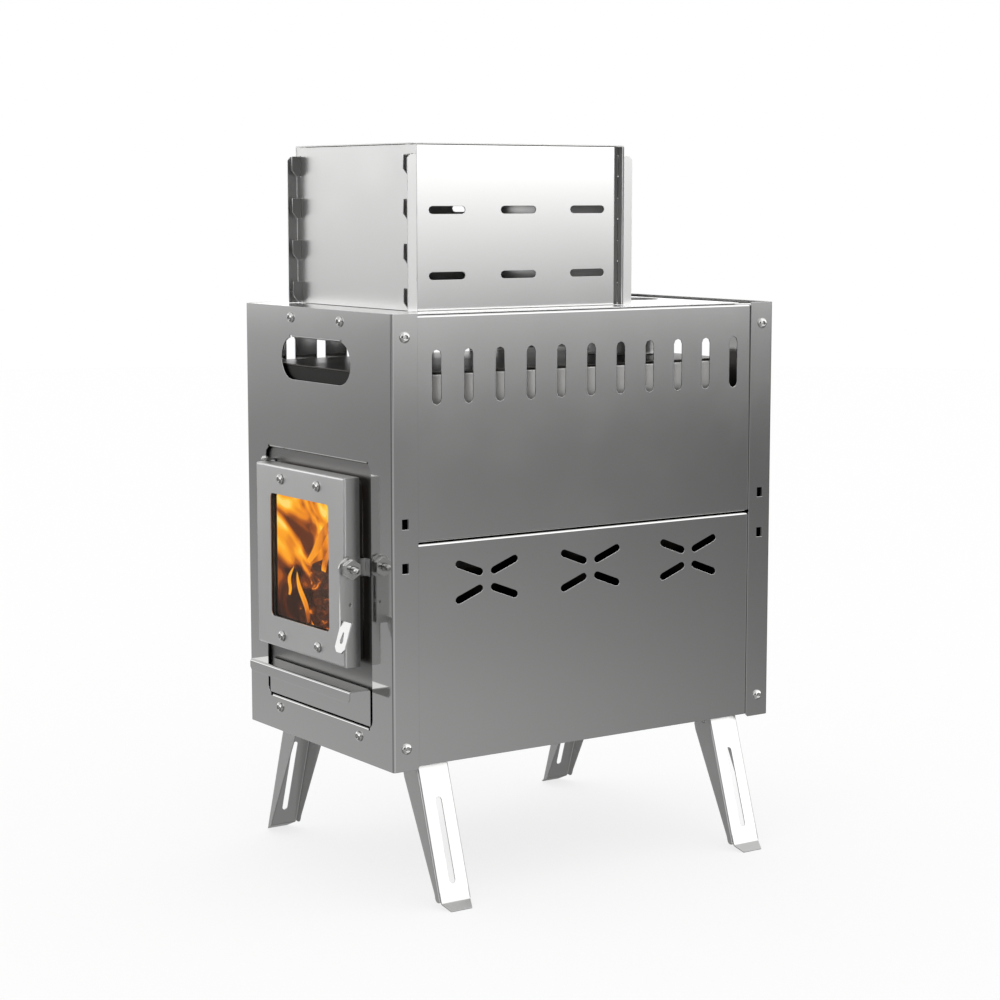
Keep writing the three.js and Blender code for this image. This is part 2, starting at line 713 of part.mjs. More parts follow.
const pinHeadRise = upperLug + hingeLug + seat;
addPiece("hinge_pin", turned([
  [0, lowerLug - 2], [hingePinRadius, lowerLug - 2], [hingePinRadius, pinHeadRise],
  [hingePinRadius * 2, pinHeadRise], [hingePinRadius * 1.6, pinHeadRise + 1.6], [0, pinHeadRise + 1.6],
], 12).translate([hingeX, -hingeSetback, 0]), plated);

const latchX = doorHalf + seat;                       // face that the latch stands on
const latchY = -latchSetback;
const keeperX = doorHalf + latchPlay;
const leverX = keeperX + sheet + latchPlay;
const forkGap = latchStudRadius + latchPlay;

// The keeper stands out from the firebox front beside the door. Its fork is open
// towards the front, so the stud enters it as the door closes.
function keeper() {
  const y = fireboxFront - seat;
  const line = [
    [keeperX + 8, y - sheet / 2], [keeperX + sheet / 2, y - sheet / 2], [keeperX + sheet / 2, latchY - 2],
  ];
  const bracket = prism(
    foldedStrip(line, sheet, sheet), "top", latchHeight - keeperHeight / 2, latchHeight + keeperHeight / 2,
  );
  const fork = [
    [latchY - 4, latchHeight + forkGap], ...arc(latchY, latchHeight, forkGap, 90, -90, 8),
    [latchY - 4, latchHeight - forkGap],
  ];
  return bracket.subtract(prism(fork.reverse(), "side", keeperX - 1, keeperX + 2));
}
addPiece("latch_keeper", keeper(), satin);

// ---------------------------------------------------------------------------
// Door: folded pan with a window, glass, gasket, retainer and screws
// ---------------------------------------------------------------------------

const doorScrewPlaces = [-1, 1].flatMap((side) => [
  [(side * doorScrewSpacing) / 2, doorScrewUpper], [(side * doorScrewSpacing) / 2, doorScrewLower],
]);

function doorPan() {
  const x = doorHalf - sheet / 2;
  const y = doorFace + sheet / 2;
  const upright = foldedStrip([[-x, doorBack], [-x, y], [x, y], [x, doorBack]]);
  const uprights = prism(upright, "top", doorBottom, doorTop);
  const across = foldedStrip([
    [doorBack, doorBottom + sheet / 2], [y, doorBottom + sheet / 2], [y, doorTop - sheet / 2],
    [doorBack, doorTop - sheet / 2],
  ]);
  const clipped = prism(across, "side", -doorHalf + bend, doorHalf - bend);
  const silhouette = prism(box2(doorFace, doorBottom, doorBack, doorTop), "side", -doorHalf, doorHalf);
  const window = roundedBox(-windowHalf, windowBottom, windowHalf, windowTop, windowCorner);
  const holes = doorScrewPlaces.map(([sx, sz]) => prism(
    circle(sx, sz, holeRadius, 10), "front", doorFace - 1, doorFace + 3,
  ));
  const rounded = uprights.subtract(silhouette.subtract(prism(
    foldedEnds(), "side", -doorHalf - 1, doorHalf + 1,
  )));
  return cutAll(rounded.add(clipped), [prism(window, "front", doorFace - 1, doorFace + 3), ...holes]);
}

// The door's outline seen from the side, with the folds' outer radius at its face.
function foldedEnds() {
  const radius = bend + sheet / 2;
  return [
    [doorBack, doorBottom], [doorBack, doorTop],
    ...arc(doorFace + radius, doorTop - radius, radius, 90, 180, 3),
    ...arc(doorFace + radius, doorBottom + radius, radius, 180, 270, 3),
  ];
}
addPiece("door_panel", doorPan(), satin);

const glassFace = doorFace + sheet + seat;
const glassBack = glassFace + glassThickness;
const aroundWindow = (outset) => box2(
  -windowHalf - outset, windowBottom - outset, windowHalf + outset, windowTop + outset,
);
addPiece("door_glass", prism(aroundWindow(glassMargin), "front", glassFace, glassBack), glass);

const gasketBack = glassBack + seat + gasketThickness;
addPiece("glass_gasket", prism(aroundWindow(glassMargin), "front", glassBack + seat, gasketBack).subtract(
  prism(aroundWindow(gasketInset), "front", glassBack, gasketBack + 1),
), fibre);

const retainerBack = gasketBack + seat + sheet;
const retainerSide = 4;
const retainerHigh = Math.max(doorScrewUpper - windowTop, windowBottom - doorScrewLower) + 5;
addPiece("glass_retainer", cutAll(
  prism(roundedBox(
    -windowHalf - glassMargin - retainerSide, windowBottom - retainerHigh,
    windowHalf + glassMargin + retainerSide, windowTop + retainerHigh, windowCorner,
  ), "front", gasketBack + seat, retainerBack),
  [
    prism(roundedBox(
      -windowHalf, windowBottom, windowHalf, windowTop, windowCorner,
    ), "front", gasketBack - 1, retainerBack + 1),
    ...doorScrewPlaces.map(([x, z]) => prism(
      circle(x, z, holeRadius, 10), "front", gasketBack - 1, retainerBack + 1,
    )),
  ],
), inner);

const doorScrewReach = retainerBack - doorFace + 1;
const doorScrew = buttonScrew(doorScrewReach, seat);
for (const [x, z] of doorScrewPlaces) {
  const place = `${z === doorScrewUpper ? "upper" : "lower"}_${x < 0 ? "left" : "right"}`;
  addPiece(`door_screw_${place}`, facingFront(doorScrew, x, doorFace, z), plated);
}

function knuckle(low) {
  const y = -hingeSetback;
  const barrel = prism(circle(hingeX, y, hingeKnuckleRadius, 14), "top", low, low + hingeKnuckleLength);
  const leafX = -doorHalf - seat;
  const leaf = block(leafX - hingeLeaf, leafX, doorFace + 3, y + 1.5, low, low + hingeKnuckleLength);
  return barrel.add(leaf).subtract(
    prism(circle(hingeX, y, hingePinRadius + seat, 12), "top", low - 1, low + hingeKnuckleLength + 1),
  );
}
addPiece("door_knuckle_upper", knuckle(doorTop - hingeKnuckleInset - hingeKnuckleLength), satin);
addPiece("door_knuckle_lower", knuckle(doorBottom + hingeKnuckleInset), satin);

// ---------------------------------------------------------------------------
// Latch: a stud on the door's side, a lever that hangs on it, and its nut
// ---------------------------------------------------------------------------

addPiece("latch_stud", turned([
  [0, 0], [latchStudRadius, 0], [latchStudRadius, latchStudLength - 2],
  [latchStudRadius * 0.75, latchStudLength - 0.6], [0, latchStudLength],
], 14).rotate([0, 90, 0]).translate([latchX, latchY, latchHeight]), plated);

// The lever hangs beside the door. It has a round hub, a straight arm and a finger
// tab that stands out from the arm's lower end.
function latchLever() {
  const armFront = latchY - latchArmWidth + 4;
  const armBack = armFront + latchArmWidth;
  const armBottom = latchHeight - latchArmDrop;
  const through = (points) => prism(points, "side", leverX - 1, leverX + latchPlate + 1);
  const plate = (points) => prism(points, "side", leverX, leverX + latchPlate);
  return cutAll(joinAll([
    plate(circle(latchY, latchHeight, latchHub, 24)),
    plate(box2(armFront, armBottom, armBack, latchHeight)),
    latchTab(armFront, armBottom),
  ]), [
    through(circle(latchY, latchHeight, latchStudRadius + seat, 14)),
    through(circle(armBack - 3, latchHeight - 30, 1.3, 8)),
  ]);
}

function latchTab(armFront, armBottom) {
  const half = latchTabWidth / 2;
  const plate = prism([
    [-half, 6], [half, 6], [half, -latchTabLength + 4], [half - 4, -latchTabLength],
    [-half + 4, -latchTabLength], [-half, -latchTabLength + 4],
  ], "front", 0, latchPlate);
  const teardrop = [...arc(0, -10, 2.4, 180, 360, 6), [0.9, -3.2], [-0.9, -3.2]];
  const drop = prism(teardrop, "front", -1, latchPlate + 1);
  return plate.subtract(drop).rotate([-latchTabLean, 0, 0])
    .translate([leverX + half, armFront, armBottom]);
}
addPiece("latch_lever", latchLever(), satin);

const washerX = leverX + latchPlate + seat;
const ring = (radius, bore, height, steps) => prism(circle(0, 0, radius, steps), "top", 0, height)
  .subtract(prism(circle(0, 0, bore, 14), "top", -1, height + 1));
const onStud = (manifold, x) => manifold.rotate([0, 90, 0]).translate([x, latchY, latchHeight]);
addPiece("latch_washer", onStud(ring(latchHub - 2, latchStudRadius + seat, sheet, 20), washerX), plated);
addPiece("latch_nut", onStud(
  ring(latchNutRadius, latchStudRadius + seat, latchNutHeight, 6), washerX + sheet + seat,
), plated);

// ---------------------------------------------------------------------------
// Ash drawer and its runners
// ---------------------------------------------------------------------------

const drawerFrontLine = [
  [sheet / 2, drawerBottom], [sheet / 2, drawerTop - sheet / 2],
  [-drawerLip + sheet / 2, drawerTop - sheet / 2], [-drawerLip + sheet / 2, drawerTop - drawerLipReturn],
];
const lipCorner = (side) => {
  const x = side * drawerHalf;
  const low = drawerTop - drawerLipReturn - 1;
  const points = [[x + side, low], [x - side * 4, low], [x + side, low + 5]];
  return prism(points, "front", -drawerLip - 1, -drawerLip + 3);
};
addPiece("ash_drawer_front", cutAll(
  prism(foldedStrip(drawerFrontLine), "side", -drawerHalf, drawerHalf),
  [lipCorner(1), lipCorner(-1)],
), polished);

const trayFront = inside;
const trayBack = fireboxRear - drawerRearGap;
const trayRise = drawerBottom + 1.5;
const trayTop = trayRise + drawerTrayHeight;
const trayHalf = drawerHalf - drawerTrayInset;
const trayLine = [
  [-trayHalf + sheet / 2, trayTop], [-trayHalf + sheet / 2, trayRise + sheet / 2],
  [trayHalf - sheet / 2, trayRise + sheet / 2], [trayHalf - sheet / 2, trayTop],
];
const trayEnd = (y) => block(-trayHalf + sheet / 2, trayHalf - sheet / 2, y, y + sheet, trayRise, trayTop);
addPiece("ash_drawer_tray", joinAll([
  prism(foldedStrip(trayLine), "front", trayFront, trayBack), trayEnd(trayFront), trayEnd(trayBack - sheet),
]), inner);

const runnerX = trayHalf + 1.5;
const runnerLedge = 8;
const runnerTop = trayRise - seat;
const runnerLine = [
  [runnerX + runnerLedge, floorPlateFace + seat + sheet / 2], [runnerX, floorPlateFace + seat + sheet / 2],
  [runnerX, runnerTop - sheet / 2], [runnerX - runnerLedge, runnerTop - sheet / 2],
];
const runner = prism(foldedStrip(runnerLine), "front", fireboxFront + 9, trayBack);
addPiece("drawer_runner_right", runner, inner);
addPiece("drawer_runner_left", onLeft(runner), inner);

// ---------------------------------------------------------------------------
// Legs: tapered channels that fold in under the bottom plate
// ---------------------------------------------------------------------------

// A leg in its own frame: pin at the origin along y, the leg hanging down -z, and
// its outer face towards +x.
function legChannel() {
  const face = legFace - sheet / 2;
  const half = legWidth / 2 - sheet / 2;
  const deep = legFace - legFlangeTop;
  const shallow = legFace - legFlangeFoot;
  const section = foldedStrip([[deep, -half], [face, -half], [face, half], [deep, half]]);
  const outline = [
    [legFace, legHead], [deep + 7, legHead], [deep, 0], [deep, -6],
    [shallow, -legLength + 9], ...arc(shallow + 4, -legLength + 5, 4, 180, 270, 4), [legFace, -legLength + 1],
  ];
  return prism(section, "top", -legLength, legHead)
    .intersect(prism(outline, "front", -legWidth, legWidth));
}

function legFoot() {
  const face = legFace - sheet / 2;
  const reach = footLength * Math.SQRT1_2;
  const line = [[face, -legLength + 9], [face, -legLength], [face + reach, -legLength - reach]];
  const half = legWidth / 2 - bend;
  const strip = prism(foldedStrip(line), "front", -half, half);
  return cutAll(strip, [1, -1].map((side) => footCornerCutter(side, half, face)));
}

// The prism that trims a foot's corner: its outline lies in the foot's own plane.
function footCornerCutter(side, half, face) {
  const outline = [
    [1, side * half], [footLength + 3, side * (half - footCorner)],
    [footLength + 3, side * (half + 2)], [1, side * (half + 2)],
  ];
  return prism(outline, "top", -4, 4).rotate([0, 45, 0]).translate([face, 0, -legLength]);
}

function leg() {
  const slotMiddle = -legSlotTop - legSlotLength / 2;
  const slotOutline = obround(0, slotMiddle, legSlotLength, legSlotWidth, 90);
  const slot = prism(slotOutline, "side", legFace - 3, legFace + 1);
  const pinHole = prism(circle(0, 0, legPinRadius + seat, 12), "front", -legWidth, legWidth);
  return cutAll(legChannel().add(legFoot()), [slot, pinHole]);
}

// A clip under the bottom plate whose two ears stand inside the leg's flanges.
function legBracket() {
  const half = legWidth / 2 - sheet - seat - sheet / 2;
  const top = floorPlateRise - seat - sheet / 2 - legPinHeight;
  const earLow = -5;
  const section = foldedStrip([[-half, earLow], [-half, top], [half, top], [half, earLow]]);
  const inboard = -6.5;
  const outboard = 4.5;
  const middle = (inboard + outboard) / 2;
  const radius = (outboard - inboard) / 2;
  const silhouette = [
    [outboard, top + 1], [inboard, top + 1], ...arc(middle, earLow + radius, radius, 180, 360, 8),
  ];
  return prism(section, "side", inboard, outboard)
    .intersect(prism(silhouette, "front", -legWidth, legWidth))
    .subtract(prism(circle(0, 0, legPinRadius + seat, 12), "front", -legWidth, legWidth));
}

// The pin lies along y with its head behind the leg's rear flange.
function legPin() {
  const half = legWidth / 2;
  return turned([
    [0, -half], [legPinRadius, -half], [legPinRadius, half + seat],
    [legPinHead, half + seat], [legPinHead * 0.8, half + seat + 1.6], [0, half + seat + 1.6],
  ], 12).rotate([-90, 0, 0]);
}

const legSolid = leg();
const bracketSolid = legBracket();
const pinSolid = legPin();
for (const [end, y] of [["front", legFromEnd], ["rear", bodyLength - legFromEnd]]) {
  for (const [hand, side] of [["right", 1], ["left", -1]]) {
    const turn = side > 0 ? 0 : 180;
    const place = [side * legPinFromMiddle, y, legPinHeight];
    const standing = legSolid.rotate([0, -legSplay, 0]).rotate([0, 0, turn]).translate(place);
    addPiece(`leg_${end}_${hand}`, standing, satin);
    addPiece(`leg_bracket_${end}_${hand}`, bracketSolid.rotate([0, 0, turn]).translate(place), satin);
    addPiece(`leg_pin_${end}_${hand}`, pinSolid.translate(place), plated);
  }
}

// ---------------------------------------------------------------------------
// Hot box: two webs, two hooked walls, floor and lift-off cover
// ---------------------------------------------------------------------------

const boxRise = topPlateFace + seat;
const boxBack = boxFront + boxLength;
const boxTop = boxRise + boxHeight;
const wallOuter = boxWebWidth / 2 - boxWallInset;
const wallInner = wallOuter - sheet;
const pegMiddle = boxWebWidth / 2 - boxCoverPegInset;

function tabHeights() {
  const heights = [];
  for (let i = 0; i < boxTabCount; i += 1) {
    heights.push(boxTop - boxTabDrop - i * boxTabPitch);
  }
  return heights;
}

// The front web with its flanges folded forward; the rear one is turned round.
function boxWeb() {
  const x = boxWebWidth / 2 - sheet / 2;
  const y = boxFront + sheet / 2;
  const section = foldedStrip([[-x, boxFront - boxFlange], [-x, y], [x, y], [x, boxFront - boxFlange]]);
  const cutters = [-1, 1].flatMap((side) => tabHeights().map((top) => prism(box2(
    side * (wallOuter - sheet / 2) - sheet / 2 - seat, top - boxTabHeight - 1,
    side * (wallOuter - sheet / 2) + sheet / 2 + seat, top + seat,
  ), "front", boxFront - 1, boxFront + sheet + 1)));
  const flangeTop = boxTop - boxFlangeDrop;
  const shoulder = prism([
    [boxFront - boxFlange - 1, boxTop + 1], [boxFront - 0.5, boxTop + 1], [boxFront - 0.5, flangeTop],
    [boxFront - boxFlange + 3, flangeTop], [boxFront - boxFlange - 1, flangeTop - 4],
  ], "side", -boxWebWidth, boxWebWidth);
  const peg = (side) => block(
    side * pegMiddle - boxCoverPeg / 2, side * pegMiddle + boxCoverPeg / 2,
    boxFront, boxFront + sheet, boxTop - 1, boxTop + boxCoverPegRise,
  );
  return joinAll([cutAll(prism(section, "top", boxRise, boxTop), [...cutters, shoulder]), peg(1), peg(-1)]);
}

// A side wall whose hooks pass through the webs.
function boxWall() {
  const start = boxFront + sheet + seat;
  const end = boxBack - sheet - seat;
  const plate = prism(box2(start, boxRise, end, boxTop), "side", wallInner, wallOuter);
  const reach = sheet + seat + boxTabReach;
  const hook = (edge, along, top) => prism([
    [edge - along, top - boxTabHeight], [edge - along, top], [edge + along * reach, top],
    [edge + along * reach, top - boxTabHeight + 5], [edge + along * (reach - 4), top - boxTabHeight],
  ], "side", wallInner, wallOuter);
  const hooks = tabHeights().flatMap((top) => [
    hook(start, -1, top), hook(end, 1, top),
  ]);
  const slots = boxSlotDrops.flatMap((drop) => [-1, 0, 1].map((i) => prism(
    obround((boxFront + boxBack) / 2 + i * boxSlotPitch, boxTop - drop, boxSlotLength, boxSlotHeight),
    "side", wallInner - 1, wallOuter + 1,
  )));
  return cutAll(joinAll([plate, ...hooks]), slots);
}

const boxFrontWeb = boxWeb();
const turnedRound = (manifold) => manifold.translate([0, -(boxFront + boxBack) / 2, 0])
  .rotate([0, 0, 180]).translate([0, (boxFront + boxBack) / 2, 0]);
addPiece("hot_box_front", boxFrontWeb, satin);
addPiece("hot_box_rear", turnedRound(boxFrontWeb), satin);
const boxWallSolid = boxWall();
addPiece("hot_box_wall_right", boxWallSolid, polished);
addPiece("hot_box_wall_left", onLeft(boxWallSolid), polished);
addPiece("hot_box_floor", block(
  -wallInner + seat, wallInner - seat, boxFront + sheet + seat, boxBack - sheet - seat,
  boxRise, boxRise + sheet,
), inner);

const coverRise = boxTop + seat;
const pegHole = (side, y) => block(
  side * pegMiddle - boxCoverPeg / 2 - seat, side * pegMiddle + boxCoverPeg / 2 + seat,
  y - seat, y + sheet + seat, coverRise - 1, coverRise + sheet + 1,
);
addPiece("hot_box_cover", cutAll(block(
  -boxWebWidth / 2 + 3, boxWebWidth / 2 - 3, boxFront - 2, boxBack + 2, coverRise, coverRise + sheet,
), [1, -1].flatMap((side) => [pegHole(side, boxFront), pegHole(side, boxBack - sheet)])), satin);

// ---------------------------------------------------------------------------
// Set the stove down: origin on the floor, under the middle of its outline
// ---------------------------------------------------------------------------

const outline = new THREE.Box3().setFromObject(stove);
const centre = outline.getCenter(new THREE.Vector3());
stove.position.set(-centre.x, -centre.y, -outline.min.z);

export default stove;
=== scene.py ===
"""A folding tent wood stove of sheet steel: its finishes, fine screws, a wood fire and a studio."""

import json
import math
import random

import bmesh
import bpy
from mathutils import Matrix, Vector, noise

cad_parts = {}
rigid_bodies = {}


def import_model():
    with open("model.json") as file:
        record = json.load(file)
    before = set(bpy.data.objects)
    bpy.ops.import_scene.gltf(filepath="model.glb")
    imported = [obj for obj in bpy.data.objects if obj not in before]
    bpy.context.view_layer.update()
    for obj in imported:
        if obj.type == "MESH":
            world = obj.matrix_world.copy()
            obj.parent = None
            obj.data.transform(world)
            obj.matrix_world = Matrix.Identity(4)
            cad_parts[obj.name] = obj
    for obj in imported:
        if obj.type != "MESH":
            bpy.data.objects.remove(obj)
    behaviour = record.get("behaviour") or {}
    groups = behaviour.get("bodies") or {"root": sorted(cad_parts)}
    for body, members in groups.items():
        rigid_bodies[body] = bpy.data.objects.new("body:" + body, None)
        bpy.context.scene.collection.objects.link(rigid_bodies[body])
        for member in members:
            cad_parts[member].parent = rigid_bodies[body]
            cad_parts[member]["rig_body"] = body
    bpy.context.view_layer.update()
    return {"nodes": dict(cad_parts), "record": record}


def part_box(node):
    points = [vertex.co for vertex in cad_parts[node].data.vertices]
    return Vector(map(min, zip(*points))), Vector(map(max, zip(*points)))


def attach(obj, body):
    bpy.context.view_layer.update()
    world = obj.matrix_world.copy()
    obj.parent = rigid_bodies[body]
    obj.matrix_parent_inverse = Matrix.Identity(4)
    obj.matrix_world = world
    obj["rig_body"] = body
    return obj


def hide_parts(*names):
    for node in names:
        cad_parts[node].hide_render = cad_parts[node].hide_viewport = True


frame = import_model()
nodes = frame["nodes"]

# ---------------------------------------------------------------------------
# Sizes, in metres

MM = 0.001
FRONT_SETBACK = 3 * MM            # from the front pan's face back to the firebox
REAR_SETBACK = 38 * MM            # from the firebox back to the rear pan's face
PANEL_RISE = 2.5 * MM             # from the shell's lower edge up to the side panels
SIDE_X = 122 * MM                 # outer face of the corner pans' strips

EDGE_ROUND = 0.22 * MM            # rounding of cut sheet edges
EDGE_ANGLE = math.radians(50)     # edges steeper than this are rounded
SMOOTH_LIMIT = math.cos(EDGE_ANGLE)
SAME_PLANE = math.cos(math.radians(1.5))
DISSOLVE_ANGLE = math.radians(0.3)
ALONG_AXIS = 0.9999               # least part along an axis of a normal that counts as along it
LEVEL_REACH = 0.2 * MM            # corners this near to a flat's level are brought to it
WELD = 0.002 * MM
BIG_FLAT = 60 * MM ** 2           # flats larger than this are shaded quite flat
AREA_POWER = 3                    # how strongly a large flat outweighs a bend beside it

HEAD_RADIUS = 4.6 * MM            # button head screws
HEAD_HEIGHT = 2.6 * MM
HEAD_RIM = 0.4 * MM
HEAD_SIDES = 24
DOME_TURN = math.radians(66)      # the dome's arc
DOME_STEPS = 7
SOCKET_FLAT = 1.8 * MM            # middle to flat of the hexagon socket
SOCKET_DEPTH = 1.4 * MM
SHANK_RADIUS = 2 * MM
SHANK_OVERLAP = 0.1 * MM          # how far a shank reaches into its head
PLAIN_HEAD_LEAST = 0.2 * MM       # what stands this proud of a pan belongs to a plain head
CORE_WIDTH = 0.8                  # share of a plain head's width that stays inside the fine one
CORE_HEIGHT = 0.35                # and of its height

CAMERA_LENS = 84.59
SENSOR_WIDTH = 36
CAMERA_PLACE = Vector((1.72058, -0.98565, 0.47062))   # from the middle of the body's lower front edge
CAMERA_BACK = Vector((0.81907, -0.55889, 0.12944))

shell_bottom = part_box("side_panel_lower_right")[0].z - PANEL_RISE
front_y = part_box("firebox_front")[0].y - FRONT_SETBACK
rear_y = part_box("firebox_rear")[1].y + REAR_SETBACK
lower_front_edge = Vector((0, front_y, shell_bottom))

PANS = {"front_panel": (front_y, -1), "rear_panel": (rear_y, 1)}   # face's place, and its way out along Y
DOOR_SCREWS = [f"door_screw_{height}_{side}" for height in ("upper", "lower") for side in ("left", "right")]


# ---------------------------------------------------------------------------
# Shader nodes


def add(tree, kind, **values):
    """A new shader node with its own settings."""
    node = tree.nodes.new(kind)
    for key, value in values.items():
        setattr(node, key, value)
    return node


def feed(tree, value, socket):
    """Links a value to a socket, or sets a number on it."""
    if isinstance(value, (int, float)):
        socket.default_value = value
    else:
        tree.links.new(value, socket)


def place_of(tree, scale=(1, 1, 1)):
    """Object coordinates, stretched by scale."""
    mapping = add(tree, "ShaderNodeMapping")
    mapping.inputs["Scale"].default_value = scale
    tree.links.new(add(tree, "ShaderNodeTexCoord").outputs["Object"], mapping.inputs["Vector"])
    return mapping.outputs["Vector"]


def xyz_of(tree, coordinates):
    """The x, y and z of the texture coordinates of that name."""
    split = add(tree, "ShaderNodeSeparateXYZ")
    tree.links.new(add(tree, "ShaderNodeTexCoord").outputs[coordinates], split.inputs["Vector"])
    return [split.outputs[axis] for axis in "XYZ"]


def noise_of(tree, place, scale, detail=3, roughness=0.5, distortion=0.0):
    """Noise from 0 to 1 at that place."""
    node = add(tree, "ShaderNodeTexNoise")
    node.inputs["Scale"].default_value = scale
    node.inputs["Detail"].default_value = detail
    node.inputs["Roughness"].default_value = roughness
    node.inputs["Distortion"].default_value = distortion
    tree.links.new(place, node.inputs["Vector"])
    return node.outputs["Fac"]


def range_of(tree, value, low, high, to_low, to_high):
    """value, moved from one range to another."""
    node = add(tree, "ShaderNodeMapRange")
    for name, number in zip(("From Min", "From Max", "To Min", "To Max"), (low, high, to_low, to_high)):
        node.inputs[name].default_value = number
    tree.links.new(value, node.inputs["Value"])
    return node.outputs["Result"]


def maths(tree, operation, *values):
    """One or two values or numbers, put through an operation."""
    node = add(tree, "ShaderNodeMath", operation=operation)
    for value, socket in zip(values, node.inputs):
        feed(tree, value, socket)
    return node.outputs["Value"]


def products_sum(tree, a, b, c, d):
    """a times b, plus c times d."""
    return maths(tree, "ADD", maths(tree, "MULTIPLY", a, b), maths(tree, "MULTIPLY", c, d))


def ramp_of(tree, value, stops, interpolation="LINEAR"):
    """A colour by value. stops is a list of (place, colour)."""
    node = add(tree, "ShaderNodeValToRGB")
    ramp = node.color_ramp
    ramp.interpolation = interpolation
    while len(ramp.elements) < len(stops):
        ramp.elements.new(1)
    for element, (place, colour) in zip(ramp.elements, stops):
        element.position = place
        element.color = (*colour, 1)
    tree.links.new(value, node.inputs["Fac"])
    return node.outputs["Color"]


def bump_of(tree, height, distance):
    """A bumped normal from a height."""
    node = add(tree, "ShaderNodeBump")
    node.inputs["Distance"].default_value = distance
    node.inputs["Strength"].default_value = 1.0
    tree.links.new(height, node.inputs["Height"])
    return node.outputs["Normal"]


def mix_shaders(tree, share, first, second):
    """From one shader to another as share, a value or a number, goes from 0 to 1."""
    node = add(tree, "ShaderNodeMixShader")
    feed(tree, share, node.inputs["Fac"])
    tree.links.new(first.outputs[0], node.inputs[1])
    tree.links.new(second.outputs[0], node.inputs[2])
    return node.outputs["Shader"]


def principled(name, **values):
    """A new material with its Principled sockets set."""
    material = bpy.data.materials.new(name)
    material.use_nodes = True
    shader = material.node_tree.nodes["Principled BSDF"]
    for key, value in values.items():
        shader.inputs[key.replace("_", " ").title().replace("Ior", "IOR")].default_value = value
    return material, material.node_tree, shader


# ---------------------------------------------------------------------------
# Materials

GRIT_SCALE = 2600                 # the finest speckle of a steel
SHADE_LINE_SWAY = 40 * MM          # how unevenly the painted shade ends on a sheet
SHADE_STEEL_GRIT = 0.012 * MM


def steel(name, tone, roughness, spread, grain=0.0, speckle=0.0, tint=None):
    """Bare sheet steel: rolled grain, a fine speckle, and smudges that change its gloss.

    spread is how far roughness varies, grain and speckle are heights in millimetres, and tint is
    the colour of old heat in patches.
    """
    material, tree, shader = principled(name, metallic=1.0)
    smudge = noise_of(tree, place_of(tree), scale=9, detail=4, roughness=0.6, distortion=0.4)
    gloss = range_of(tree, smudge, 0.3, 0.7, roughness - spread, roughness + spread)
    tree.links.new(gloss, shader.inputs["Roughness"])
    if tint is None:
        shader.inputs["Base Color"].default_value = (*tone, 1)
    else:
        patch = noise_of(tree, place_of(tree), scale=14, detail=5, roughness=0.6, distortion=0.8)
        tree.links.new(ramp_of(tree, patch, [(0.35, tone), (0.7, tint)]), shader.inputs["Base Color"])
    rolled = noise_of(tree, place_of(tree, (6, 6, 900)), scale=1, detail=4, roughness=0.7)
    grit = noise_of(tree, place_of(tree), scale=GRIT_SCALE, detail=1)
    height = products_sum(tree, rolled, grain, grit, speckle)
    tree.links.new(bump_of(tree, height, MM), shader.inputs["Normal"])
    return material


def painted_shade_steel(name, below, above, turn_low, turn_high):
    """Firebox sheet whose tone goes from below to above between two heights, in an uneven line; its dark
    tone is painted shade.
    """
    material, tree, shader = principled(name, metallic=1.0, roughness=0.34)
    _, _, z = xyz_of(tree, "Object")
    patch = noise_of(tree, place_of(tree), scale=16, detail=5, roughness=0.6)
    height = maths(tree, "ADD", z, maths(tree, "MULTIPLY", patch, SHADE_LINE_SWAY))
    share = range_of(tree, height, shell_bottom + turn_low, shell_bottom + turn_high, 0, 1)
    tree.links.new(ramp_of(tree, share, [(0.0, below), (1.0, above)]), shader.inputs["Base Color"])
    grit = noise_of(tree, place_of(tree), scale=GRIT_SCALE, detail=1)
    tree.links.new(bump_of(tree, grit, SHADE_STEEL_GRIT), shader.inputs["Normal"])
    return material


def cast_iron():
    """Matt black iron with a sand-cast surface and rust in its hollows."""
    material, tree, shader = principled("grate_iron", metallic=0.6, roughness=0.62)
    patch = noise_of(tree, place_of(tree), scale=60, detail=6, roughness=0.7)
    rust = ramp_of(tree, patch, [(0.4, (0.028, 0.026, 0.025)), (0.75, (0.09, 0.05, 0.03))])
    tree.links.new(rust, shader.inputs["Base Color"])
    sand = noise_of(tree, place_of(tree), scale=700, detail=4)
    tree.links.new(bump_of(tree, sand, 0.25 * MM), shader.inputs["Normal"])
    return material


def woven_fibre():
    """Glass fibre tape, woven and sooty."""
    material, tree, shader = principled("gasket_fibre", roughness=0.9, sheen_weight=0.3)
    rows = add(tree, "ShaderNodeTexWave", wave_type="BANDS", bands_direction="DIAGONAL")
    rows.inputs["Scale"].default_value = 260
    rows.inputs["Distortion"].default_value = 1.5
    tree.links.new(place_of(tree), rows.inputs["Vector"])
    soot = noise_of(tree, place_of(tree), scale=90, detail=5)
    colour = ramp_of(tree, soot, [(0.35, (0.035, 0.03, 0.027)), (0.62, (0.13, 0.11, 0.09))])
    tree.links.new(colour, shader.inputs["Base Color"])
    tree.links.new(bump_of(tree, rows.outputs["Fac"], 0.3 * MM), shader.inputs["Normal"])
    return material


def clear_glass():
    """Heat-proof glass with faint smears."""
    material, tree, shader = principled(
        "heat_glass", base_color=(1.0, 0.985, 0.95, 1), transmission_weight=1.0, ior=1.12,
        specular_ior_level=0.15,
    )
    smear = noise_of(tree, place_of(tree, (1, 1, 0.4)), scale=35, detail=5, distortion=1.0)
    tree.links.new(range_of(tree, smear, 0.4, 0.8, 0.0, 0.04), shader.inputs["Roughness"])
    return material


